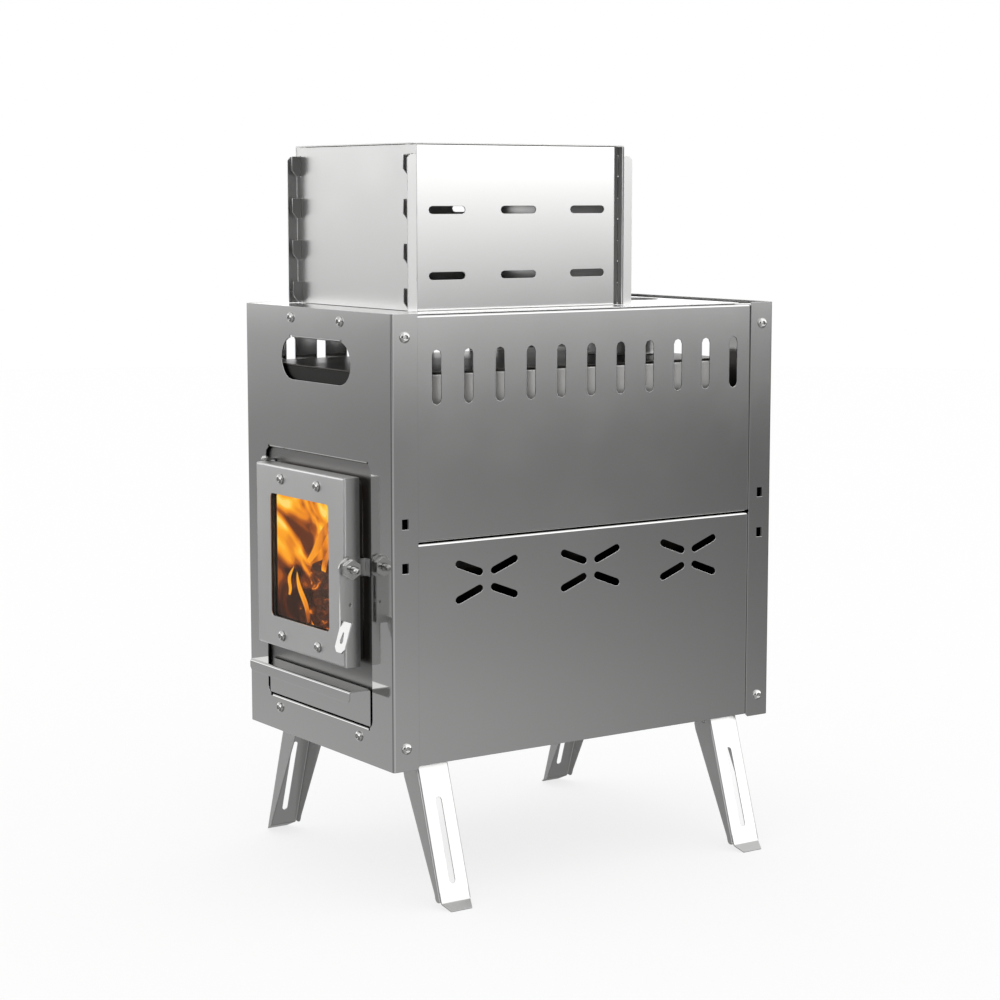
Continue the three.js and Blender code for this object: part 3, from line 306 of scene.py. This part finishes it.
plated = steel("plated_steel", (0.64, 0.64, 0.63), 0.16, spread=0.04, speckle=0.002)
burnt = steel(
    "burnt_steel", (0.085, 0.083, 0.081), 0.36, spread=0.06, speckle=0.008, tint=(0.13, 0.12, 0.11),
)
# painted shade: the firebox walls go nearly black low down, where the closed firebox lies in shade
firebox = painted_shade_steel(
    "firebox_painted_shade_steel", below=(0.008, 0.007, 0.006), above=(0.66, 0.655, 0.64),
    turn_low=180 * MM, turn_high=260 * MM,
)

FINISHES = {
    "polished_steel": steel("polished_steel", (0.62, 0.62, 0.615), 0.09, spread=0.025, grain=0.0008),
    "satin_steel": steel("satin_steel", (0.60, 0.60, 0.595), 0.30, spread=0.03, grain=0.001, speckle=0.006),
    "inner_steel": steel(
        "inner_steel", (0.36, 0.36, 0.35), 0.24, spread=0.05, speckle=0.006, tint=(0.30, 0.28, 0.25),
    ),
    "plated_steel": plated,
    "grate_iron": cast_iron(),
    "gasket_fibre": woven_fibre(),
    "heat_glass": clear_glass(),
}
# Nodes that look different from the rest of their slot
NODE_FINISHES = {
    # painted light: the door's steel is a lighter copy of the satin steel
    "door_panel": steel(
        "door_satin_steel_painted_light", (0.70, 0.70, 0.695), 0.32, spread=0.03, grain=0.001, speckle=0.006,
    ),
    # painted light: the top plate's steel is a lighter copy of the others
    "top_plate": steel("plate_steel_painted_light", (0.80, 0.80, 0.795), 0.24, spread=0.03, speckle=0.004),
    # painted shade: the firebox front is darkened all over, and darkest towards its top
    "firebox_front": painted_shade_steel(
        "mouth_painted_shade_steel", below=(0.22, 0.217, 0.214), above=(0.02, 0.019, 0.018),
        turn_low=275 * MM, turn_high=310 * MM,
    ),
    "firebox_wall_left": firebox,
    "firebox_wall_right": firebox,
    "firebox_floor": burnt,
    "firebox_rear": burnt,
    "firebox_roof": burnt,
    "glass_retainer": burnt,
    "door_frame": burnt,
}
SLOTS = {row["node"]: row["material_slot"] for row in frame["record"]["subparts"]}


# ---------------------------------------------------------------------------
# Pieces, and fine copies of the CAD nodes


def new_piece(name, mesh, material, body, faces_outward=False):
    """Makes a piece of a bmesh, with its material, and rides it on a body."""
    if not faces_outward:
        bmesh.ops.recalc_face_normals(mesh, faces=mesh.faces)
    data = bpy.data.meshes.new(name)
    mesh.to_mesh(data)
    mesh.free()
    data.materials.append(material)
    piece = bpy.data.objects.new(name, data)
    bpy.context.scene.collection.objects.link(piece)
    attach(piece, body)
    return piece


def add_solid(mesh, rings, is_last_band_flat=False):
    """Adds a solid to a bmesh, skinned smoothly over rings of points and closed by flat ends."""
    made = [[mesh.verts.new(point) for point in ring] for ring in rings]
    for band, (low, high) in enumerate(zip(made, made[1:])):
        is_last = band == len(made) - 2
        for i in range(len(low)):
            k = (i + 1) % len(low)
            face = mesh.faces.new((low[i], low[k], high[k], high[i]))
            face.smooth = not (is_last and is_last_band_flat)
    mesh.faces.new(reversed(made[0]))
    mesh.faces.new(made[-1])


def flat_regions(mesh):
    """The region of each face, and each region's normal and area. A region is faces in one plane."""
    region_of, normals, areas = {}, [], []
    for first in sorted(mesh.faces, key=lambda f: -f.calc_area()):
        if first in region_of:
            continue
        region, edge, area = len(normals), [first], 0.0
        region_of[first] = region
        while edge:
            face = edge.pop()
            area += face.calc_area()
            for near in (f for e in face.edges for f in e.link_faces):
                if near not in region_of and near.normal.dot(first.normal) > SAME_PLANE:
                    region_of[near] = region
                    edge.append(near)
        normals.append(first.normal.copy())
        areas.append(area)
    return region_of, normals, areas


def smooth_corners(mesh, region_of, normals, areas):
    """A normal for each face corner: flats stay flat, and bends run smoothly into them."""
    corners = []
    for face in mesh.faces:
        own = normals[region_of[face]]
        for corner in face.loops:
            near = {region_of[f] for f in corner.vert.link_faces}
            mean = Vector()
            for region in near:
                if normals[region].dot(own) > SMOOTH_LIMIT:
                    mean += normals[region] * (areas[region] / MM ** 2) ** AREA_POWER
            corners.append((mean if mean.length > 0 else own).normalized())
    return corners


def level_flats(mesh):
    """Brings the corners of each large flat face back into its plane."""
    for face in mesh.faces:
        if face.calc_area() < BIG_FLAT:
            continue
        axis = max(range(3), key=lambda k: abs(face.normal[k]))
        if abs(face.normal[axis]) < ALONG_AXIS:
            continue
        level = sorted(v.co[axis] for v in face.verts)[len(face.verts) // 2]
        for vertex in face.verts:
            if abs(vertex.co[axis] - level) < LEVEL_REACH:
                vertex.co[axis] = level


def welded_mesh(name):
    """A CAD node's mesh with its doubled corners joined."""
    mesh = bmesh.new()
    mesh.from_mesh(nodes[name].data)
    bmesh.ops.remove_doubles(mesh, verts=mesh.verts, dist=WELD)
    return mesh


def fine_copy(name, mesh):
    """Makes of mesh a piece with rounded edges and smooth bends, which stands for a CAD node."""
    bmesh.ops.dissolve_limit(mesh, angle_limit=DISSOLVE_ANGLE, verts=mesh.verts, edges=mesh.edges)
    steep = [e for e in mesh.edges if e.is_manifold and e.calc_face_angle() > EDGE_ANGLE]
    bmesh.ops.bevel(
        mesh, geom=steep, offset=EDGE_ROUND, segments=2, profile=0.5, affect="EDGES", clamp_overlap=False,
        loop_slide=False,
    )
    level_flats(mesh)
    mesh.normal_update()
    region_of, normals, areas = flat_regions(mesh)
    for face in mesh.faces:
        face.smooth = areas[region_of[face]] < BIG_FLAT
    corners = smooth_corners(mesh, region_of, normals, areas)
    material = NODE_FINISHES.get(name) or FINISHES[SLOTS[name]]
    piece = new_piece(
        name + "_finished", mesh, material, nodes[name]["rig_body"], faces_outward=True,
    )
    piece.data.normals_split_custom_set(corners)
    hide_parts(name)


# ---------------------------------------------------------------------------
# Screws


def head_turns():
    """The turn of each point round a screw head."""
    return [2 * math.pi * i / HEAD_SIDES for i in range(HEAD_SIDES)]


def hexagon_point(turn, height):
    """A point on the socket's outline."""
    from_flat = (turn + math.pi / 6) % (math.pi / 3) - math.pi / 6
    r = SOCKET_FLAT / math.cos(from_flat)
    return (r * math.cos(turn), r * math.sin(turn), height)


def button_head(mesh, centre, outward):
    """Adds one domed screw head with a hexagon socket, on centre, facing outward."""
    to_place = Matrix.Translation(centre) @ outward.to_track_quat("Z", "Y").to_matrix().to_4x4()
    dome = (HEAD_HEIGHT - HEAD_RIM) / math.sin(DOME_TURN)
    profile = [(HEAD_RADIUS, 0), (HEAD_RADIUS, HEAD_RIM)]
    for i in range(1, DOME_STEPS):
        turn = i / DOME_STEPS * DOME_TURN
        profile.append((HEAD_RADIUS * math.cos(turn), HEAD_RIM + dome * math.sin(turn)))
    rings = [[(r * math.cos(a), r * math.sin(a), z) for a in head_turns()] for r, z in profile]
    rings.append([hexagon_point(a, HEAD_HEIGHT) for a in head_turns()])
    rings.append([hexagon_point(a, HEAD_HEIGHT - SOCKET_DEPTH) for a in head_turns()])
    add_solid(mesh, [[to_place @ Vector(p) for p in ring] for ring in rings], is_last_band_flat=True)


def proud_groups(mesh, outward, level):
    """The joined groups of a mesh's vertices that lie farther out than level."""
    left = dict.fromkeys(v for v in mesh.verts if v.co.dot(outward) > level)
    groups = []
    while left:
        group, edge = [], [left.popitem()[0]]
        while edge:
            vertex = edge.pop()
            group.append(vertex)
            for near in (e.other_vert(vertex) for e in vertex.link_edges):
                if near in left:
                    del left[near]
                    edge.append(near)
        groups.append(group)
    return groups


def finish_pan(name, panel_y, outward_y):
    """A corner pan, with a fine screw head over each of its plain ones, which shrink inside them."""
    mesh = welded_mesh(name)
    heads = bmesh.new()
    for sheet, outward in (
        (SIDE_X, Vector((1, 0, 0))),
        (SIDE_X, Vector((-1, 0, 0))),
        (panel_y * outward_y, Vector((0, outward_y, 0))),
    ):
        for group in proud_groups(mesh, outward, sheet + PLAIN_HEAD_LEAST):
            middle = sum((v.co for v in group), Vector()) / len(group)
            foot = middle + outward * (sheet - middle.dot(outward))
            button_head(heads, foot, outward)
            for vertex in group:
                over = vertex.co.dot(outward) - sheet
                beside = vertex.co - outward * over - foot
                vertex.co = foot + beside * CORE_WIDTH + outward * over * CORE_HEIGHT
    mesh.normal_update()
    fine_copy(name, mesh)
    new_piece(name + "_screw_heads", heads, plated, "shell")


def finish_door_screw(node):
    """A fine screw in place of one of the door's plain ones."""
    low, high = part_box(node)
    middle = (Vector(low) + Vector(high)) / 2
    mesh = bmesh.new()
    button_head(mesh, Vector((middle.x, low.y + HEAD_HEIGHT, middle.z)), Vector((0, -1, 0)))
    shank = high.y - low.y - HEAD_HEIGHT + SHANK_OVERLAP
    to_place = Matrix.Translation((middle.x, high.y - shank / 2, middle.z))
    bmesh.ops.create_cone(
        mesh, cap_ends=True, segments=HEAD_SIDES, radius1=SHANK_RADIUS, radius2=SHANK_RADIUS, depth=shank,
        matrix=to_place @ Matrix.Rotation(math.pi / 2, 4, "X"),
    )
    screw = new_piece(node + "_fine", mesh, plated, "door")
    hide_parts(node)


# ---------------------------------------------------------------------------
# Fire

MOUTH_LOW, MOUTH_HIGH = (Vector(p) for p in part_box("door_frame"))
GRATE_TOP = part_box("fire_grate")[1].z
FIRE_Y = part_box("firebox_front")[1].y + 6 * MM        # just behind the mouth
FLAME_LOW = GRATE_TOP + 3 * MM
FLAME_HIGH = MOUTH_HIGH.z - 5 * MM

FLAME_COLOURS = [                 # by heat
    (0.00, (0.007, 0.0017, 0.0004)), (0.20, (0.030, 0.006, 0.0006)), (0.36, (0.13, 0.024, 0.001)),
    (0.50, (0.40, 0.085, 0.002)), (0.64, (0.80, 0.23, 0.004)), (0.78, (1.0, 0.38, 0.008)),
    (0.90, (1.0, 0.60, 0.05)), (1.00, (1.0, 0.90, 0.38)),
]
BARK_COLOURS = [(0.30, (0.004, 0.002, 0.001)), (0.62, (0.035, 0.013, 0.005)), (0.82, (0.11, 0.05, 0.022))]
EMBER_COLOURS = [
    (0.30, (0.010, 0.0025, 0.0005)), (0.50, (0.045, 0.010, 0.001)), (0.60, (0.16, 0.030, 0.001)),
    (0.68, (0.85, 0.22, 0.010)), (0.74, (1.0, 0.42, 0.05)),
]
CRACK_DEPTH = 0.12                # cap on the cracks' part of the bark's height
BARK_RELIEF = 1.2 * MM

SKIN_SCALE = 45                   # of the noise that roughens logs and flames
SKIN_REACH = 0.02                 # how far that noise changes round a ring
LOG_STEPS, LOG_SIDES = 26, 22
LOG_ROUGHNESS = 0.5
LOG_TAPER = 0.10                  # what a log's ends lose of its radius
TONGUE_STEPS, TONGUE_SIDES = 30, 16
TONGUE_ROUGHNESS = 0.16
TONGUE_FLATNESS = 0.34
TONGUE_SWAY = 1.2 * MM
TONGUE_TIP = 0.25 * MM

CURTAIN_COLUMNS, CURTAIN_ROWS = 72, 60
CURTAIN_THICKNESS = 0.6 * MM
CURTAIN_WAVE = 5 * MM
CURTAIN_SILL = 5.5 * MM           # its lower edge over the mouth's, while it is in the mouth
CURTAIN_DROP = 30 * MM            # how far that edge sinks per point of the path behind the mouth
CURTAIN_PATH = ((-65.6, -14), (-64, -4), (-58, 8), (-34, 20), (10, 30), (60, 34))   # mm, on the plan

LOGS = (                          # mm: x, height, radius, start, length, lean, rise; and the bark's seed
    ("log_right", -6, 27, 25, 4, 215, 10, 3, 1.0), ("log_left", -54, 22, 20, 6, 205, 8, -2, 2.3),
    ("log_top", -26, 62, 20, 8, 190, -8, -14, 4.1), ("log_far_right", 44, 25, 22, 10, 200, -6, 0, 5.2),
)
TONGUES = (                       # mm: x, y, height, length, width, curl, lean
    (-27, -3, 30, 42, 4.8, 1, -18), (-46, 8, 80, 44, 8.0, 0, 46), (-60, -4, 50, 26, 3.6, 1, 8),
    (-30, 10, 64, 34, 6.0, -2, 22),
)
TONGUE_SEED_STEP = 0.37

EMBERS = 150
EMBER_SEED = 11
EMBER_X = 58                      # mm, either side of the middle
EMBER_Y = (2, 250)                # mm, behind the mouth
EMBER_Z = (1, 6)                  # mm, over the grate
EMBER_RADIUS = (3, 7)             # mm
EMBER_LUMP = 0.5
EMBER_SQUASH = 0.6
EMBER_LIFT = 0.2 * MM             # the least height over the grate


def flame_material(name, scale, span, low, high, sink, stretch, warp):
    """Glowing gas: soft swirls whose heat spans span, cooler by sink below low and whole above high."""
    material, tree, shader = principled(name, roughness=1.0, base_color=(0.01, 0.004, 0.002, 1))
    place = place_of(tree, (1, 1, stretch))
    swirls = noise_of(tree, place, scale, detail=1.6, roughness=0.45, distortion=warp)
    _, _, z = xyz_of(tree, "Object")
    lift = range_of(tree, z, low, high, -sink, 0.0)
    heat = maths(tree, "ADD", range_of(tree, swirls, 0.34, 0.66, *span), lift)
    tree.links.new(ramp_of(tree, heat, FLAME_COLOURS, "EASE"), shader.inputs["Emission Color"])
    shader.inputs["Emission Strength"].default_value = 1.0
    return material


def charred_wood():
    """Split firewood, burnt black on the outside, with glowing patches."""
    material, tree, shader = principled("charred_wood", roughness=0.85)
    place = place_of(tree, (1, 0.22, 1))
    cracks = add(tree, "ShaderNodeTexVoronoi", feature="DISTANCE_TO_EDGE")
    cracks.inputs["Scale"].default_value = 130
    tree.links.new(place, cracks.inputs["Vector"])
    grain = noise_of(tree, place, scale=160, detail=6, roughness=0.7)
    tree.links.new(ramp_of(tree, grain, BARK_COLOURS), shader.inputs["Base Color"])
    along = place_of(tree, (1, 0.5, 1.6))
    glow = noise_of(tree, along, scale=52, detail=3, roughness=0.55, distortion=1.6)
    tree.links.new(ramp_of(tree, glow, EMBER_COLOURS), shader.inputs["Emission Color"])
    shader.inputs["Emission Strength"].default_value = 1.0
    height = maths(tree, "ADD", grain, maths(tree, "MINIMUM", cracks.outputs["Distance"], CRACK_DEPTH))
    tree.links.new(bump_of(tree, height, BARK_RELIEF), shader.inputs["Normal"])
    return material


def swept(name, path, radius, material, sides, rough, seed, flat=1.0):
    """A closed solid swept along path (a list of points), with radius(t) and a rough skin."""
    mesh = bmesh.new()
    rings = []
    for i, point in enumerate(path):
        t = i / (len(path) - 1)
        ahead = (path[min(i + 1, len(path) - 1)] - path[max(i - 1, 0)]).normalized()
        across = ahead.cross(Vector((0.3, -1, 0.1))).normalized()
        up = across.cross(ahead)
        ring = []
        for k in range(sides):
            a = 2 * math.pi * k / sides
            out = across * math.cos(a) + up * math.sin(a) * flat
            at = (point + out * SKIN_REACH) * SKIN_SCALE + Vector((seed, 0, 0))
            ring.append(point + out * radius(t) * (1 + rough * noise.noise(at)))
        rings.append(ring)
    add_solid(mesh, rings)
    new_piece(name, mesh, material, "shell")


def log(name, x, height, radius, start, length, lean, rise, seed, material):
    """One piece of firewood lying along the firebox, its end towards the door."""
    path = [
        Vector((x + lean * t, FIRE_Y + start + length * t, height + rise * t))
        for t in (i / LOG_STEPS for i in range(LOG_STEPS + 1))
    ]

    def radius_at(t):
        return radius * (1 - LOG_TAPER * abs(2 * t - 1) ** 6)

    swept(name, path, radius_at, material, LOG_SIDES, LOG_ROUGHNESS, seed)


def tongue(name, x, y, height, tall, width, curl, lean, material, seed):
    """One tongue of flame: a flattened, curling spindle that tapers to its tip."""
    path = []
    for i in range(TONGUE_STEPS + 1):
        t = i / TONGUE_STEPS
        aside = lean * t + curl * math.sin(math.pi * (1.6 * t + seed)) * t
        sway = TONGUE_SWAY * math.sin(math.pi * 2 * t + seed)
        path.append(Vector((x + aside, y + sway, height + tall * t)))

    def radius_at(t):
        return max(width * (0.30 + 1.25 * t) * (1 - t) ** 0.8, TONGUE_TIP)

    swept(
        name, path, radius_at, material, TONGUE_SIDES, TONGUE_ROUGHNESS, seed,
        flat=TONGUE_FLATNESS,
    )


def flame_curtain(material):
    """The fire's glowing back, a sheet from the mouth's edge inwards, smooth at first and then wavy."""
    path = [Vector((x, y, 0)) * MM for x, y in CURTAIN_PATH]
    mesh = bmesh.new()
    grid = []
    for i in range(CURTAIN_COLUMNS + 1):
        t = i / CURTAIN_COLUMNS * (len(path) - 1)
        k = min(int(t), len(path) - 2)
        on_plan = path[k].lerp(path[k + 1], t - k) + Vector((0, FIRE_Y, 0))
        calm = min(1, max(0, (t - 1) / 2))
        bottom = max(FLAME_LOW, MOUTH_LOW.z + CURTAIN_SILL - CURTAIN_DROP * max(0, t - 1))
        column = []
        for j in range(CURTAIN_ROWS + 1):
            z = bottom + (FLAME_HIGH - bottom) * j / CURTAIN_ROWS
            wave = noise.noise(Vector((on_plan.x * 26, on_plan.y * 26, z * 20))) * CURTAIN_WAVE * calm
            column.append(mesh.verts.new((on_plan.x + wave * 0.5, on_plan.y + wave, z)))
        grid.append(column)
    for left, right in zip(grid, grid[1:]):
        for j in range(CURTAIN_ROWS):
            mesh.faces.new((left[j], right[j], right[j + 1], left[j + 1])).smooth = True
    piece = new_piece("flame_curtain", mesh, material, "shell")
    piece.modifiers.new("thickness", "SOLIDIFY").thickness = CURTAIN_THICKNESS


def ember_bed(material):
    """Lumps of charcoal and ash on the grate."""
    random.seed(EMBER_SEED)
    mesh = bmesh.new()
    for _ in range(EMBERS):
        x = random.uniform(-EMBER_X, EMBER_X) * MM
        y = FIRE_Y + random.uniform(*EMBER_Y) * MM
        at = Vector((x, y, GRATE_TOP + random.uniform(*EMBER_Z) * MM))
        size = random.uniform(*EMBER_RADIUS) * MM
        turn = random.uniform(0, 6)
        axis = Vector((random.random(), 1, random.random())).normalized()
        to_place = Matrix.Translation(at) @ Matrix.Rotation(turn, 4, axis)
        for vertex in bmesh.ops.create_icosphere(mesh, subdivisions=2, radius=size)["verts"]:
            lump = 1 + EMBER_LUMP * noise.noise(vertex.co * 260 + at * 40)
            flattened = Vector((vertex.co.x, vertex.co.y, vertex.co.z * EMBER_SQUASH))
            vertex.co = to_place @ (flattened * lump)
            vertex.co.z = max(vertex.co.z, GRATE_TOP + EMBER_LIFT)
    new_piece("ember_bed", mesh, material, "shell")


def make_fire():
    """Logs on embers, with flames round them and a glowing curtain behind."""
    charred = charred_wood()
    flame_curtain(flame_material(
        "flame_curtain_glow", scale=21, span=(0.31, 0.94), low=FLAME_LOW + 52 * MM,
        high=FLAME_LOW + 88 * MM, sink=0.42, stretch=0.8, warp=2.2,
    ))
    licks = flame_material(
        "flame_tongue_glow", scale=30, span=(0.48, 0.84), low=FLAME_LOW, high=FLAME_LOW + 60 * MM,
        sink=0.12, stretch=0.4, warp=1.0,
    )
    for name, *sizes, seed in LOGS:
        x, z, radius, start, length, lean, rise = (size * MM for size in sizes)
        log(name, x, GRATE_TOP + z, radius, start, length, lean, rise, seed, charred)
    for i, sizes in enumerate(TONGUES):
        x, y, z, tall, width, curl, lean = (size * MM for size in sizes)
        tongue(
            f"flame_tongue_{i + 1}", x, FIRE_Y + y, GRATE_TOP + z, tall, width, curl, lean, licks,
            i * TONGUE_SEED_STEP,
        )
    ember_bed(charred)


# ---------------------------------------------------------------------------
# Studio

# Brightness of the studio that metal sees, by the height of a ray's end (its Z). The side panels'
# reflections look to the right and the front panel's to the left; the photograph's camera stands in
# a darker zone of its own, which stays where it is in every view.
LOW_LEVELS = [(-0.50, 0.34), (-0.30, 0.40), (-0.215, 0.36), (-0.188, 0.31), (-0.148, 0.255)]
RIGHT_LEVELS = LOW_LEVELS + [
    (-0.115, 0.225), (-0.095, 0.25), (-0.056, 0.51), (-0.043, 0.67), (-0.028, 0.93), (-0.015, 1.15),
    (0.002, 1.50), (0.02, 2.1), (0.25, 2.1), (0.5, 1.5),
]
LEFT_LEVELS = LOW_LEVELS + [
    (-0.115, 0.222), (-0.095, 0.235), (-0.056, 0.35), (-0.03, 0.76), (0.0, 1.30), (0.02, 1.8),
    (0.16, 1.7), (0.28, 0.95), (0.5, 0.75),
]
CAMERA_LEVELS = [
    (-0.50, 0.40), (-0.22, 0.52), (-0.14, 0.50), (-0.10, 0.42), (-0.05, 0.26), (0.02, 0.07),
    (0.30, 0.04), (0.45, 0.9),
]
TO_CAMERA = Vector((CAMERA_BACK.x, CAMERA_BACK.y, 0)).normalized()
SIDE_BLEND = 0.4                  # sideways part of a direction at which left or right is whole
CAMERA_ZONE = (0.76, 0.90)        # part towards the camera at which its zone begins and is whole
FALLOFF_FROM = 0.72               # sideways part at which the floor begins to brighten
FALLOFF_GAIN = (0.60, 2.0)        # its gain there, and straight to the side
HORIZON = -0.06                   # Z from which the falloff fades out, up to 0
LEAST_REACH = 0.001               # keeps the division by a direction's level length whole

FLOOR_RADIUS = 6
FLOOR_SIDES = 96
FLOOR_TONE = 0.97
FLOOR_GLOW = 0.75                 # share of the floor's white that shadows leave alone


def levels_of(tree, z, levels):
    """Brightness by height."""
    stops = [(0.5 + at, (level, level, level)) for at, level in levels]
    return ramp_of(tree, range_of(tree, z, -0.5, 0.5, 0, 1), stops)


def blend_of(tree, share, first, second):
    """From one colour to another as share goes from 0 to 1."""
    node = add(tree, "ShaderNodeMix", data_type="RGBA")
    tree.links.new(share, node.inputs["Factor"])
    tree.links.new(first, node.inputs["A"])
    tree.links.new(second, node.inputs["B"])
    return node.outputs["Result"]


def towards_one(tree, share, value):
    """value where share is 0, going to 1 where share is 1."""
    return maths(tree, "ADD", maths(tree, "MULTIPLY", maths(tree, "SUBTRACT", 1, share), value), share)


def studio_world():
    """White to the camera and to plain surfaces, and to metal a bright upper half over a grey floor."""
    world = bpy.data.worlds.new("studio")
    bpy.context.scene.world = world
    world.use_nodes = True
    tree = world.node_tree
    tree.nodes.clear()
    x, y, z = xyz_of(tree, "Generated")
    reach = maths(tree, "MAXIMUM", maths(tree, "SQRT", products_sum(tree, x, x, y, y)), LEAST_REACH)
    sideways = maths(tree, "DIVIDE", x, reach)
    to_camera = maths(tree, "DIVIDE", products_sum(tree, x, TO_CAMERA.x, y, TO_CAMERA.y), reach)

    rightness = range_of(tree, sideways, -SIDE_BLEND, SIDE_BLEND, 0, 1)
    sides = blend_of(tree, rightness, levels_of(tree, z, LEFT_LEVELS), levels_of(tree, z, RIGHT_LEVELS))
    in_zone = range_of(tree, to_camera, *CAMERA_ZONE, 0, 1)
    level = blend_of(tree, in_zone, sides, levels_of(tree, z, CAMERA_LEVELS))
    falloff = range_of(tree, maths(tree, "ABSOLUTE", sideways), FALLOFF_FROM, 1.0, *FALLOFF_GAIN)
    gain = towards_one(tree, range_of(tree, z, HORIZON, 0.0, 0, 1), falloff)

    studio = add(tree, "ShaderNodeBackground")
    tree.links.new(level, studio.inputs["Color"])
    tree.links.new(towards_one(tree, in_zone, gain), studio.inputs["Strength"])
    white = add(tree, "ShaderNodeBackground")
    white.inputs["Color"].default_value = (1, 1, 1, 1)
    is_glossy = add(tree, "ShaderNodeLightPath").outputs["Is Glossy Ray"]
    surface = mix_shaders(tree, is_glossy, white, studio)
    tree.links.new(surface, add(tree, "ShaderNodeOutputWorld").inputs["Surface"])


def studio_floor():
    """A pale floor under the feet."""
    mesh = bmesh.new()
    bmesh.ops.create_circle(mesh, cap_ends=True, radius=FLOOR_RADIUS, segments=FLOOR_SIDES)
    data = bpy.data.meshes.new("floor")
    mesh.to_mesh(data)
    mesh.free()
    floor = bpy.data.objects.new("floor", data)
    bpy.context.scene.collection.objects.link(floor)
    tone = (FLOOR_TONE, FLOOR_TONE, FLOOR_TONE, 1)
    material, tree, shader = principled("pale_floor", base_color=tone, roughness=0.9)
    plain = add(tree, "ShaderNodeEmission")
    plain.inputs["Color"].default_value = (1, 1, 1, 1)
    surface = mix_shaders(tree, FLOOR_GLOW, shader, plain)
    tree.links.new(surface, tree.nodes["Material Output"].inputs["Surface"])
    data.materials.append(material)
    floor.visible_glossy = False
    floor.visible_diffuse = False


def set_camera():
    """The photograph's view."""
    data = bpy.data.cameras.new("camera")
    data.lens = CAMERA_LENS
    data.sensor_width = SENSOR_WIDTH
    camera = bpy.data.objects.new("camera", data)
    camera.location = lower_front_edge + CAMERA_PLACE
    camera.rotation_euler = CAMERA_BACK.to_track_quat("Z", "Y").to_euler()
    bpy.context.scene.collection.objects.link(camera)
    bpy.context.scene.camera = camera


for pan_name, (panel_y, outward_y) in PANS.items():
    finish_pan(pan_name, panel_y, outward_y)
for screw_name in DOOR_SCREWS:
    finish_door_screw(screw_name)
for node_name in nodes:
    if node_name not in PANS and node_name not in DOOR_SCREWS:
        fine_copy(node_name, welded_mesh(node_name))
make_fire()
studio_world()
studio_floor()
set_camera()
bpy.context.scene.view_settings.view_transform = "Standard"
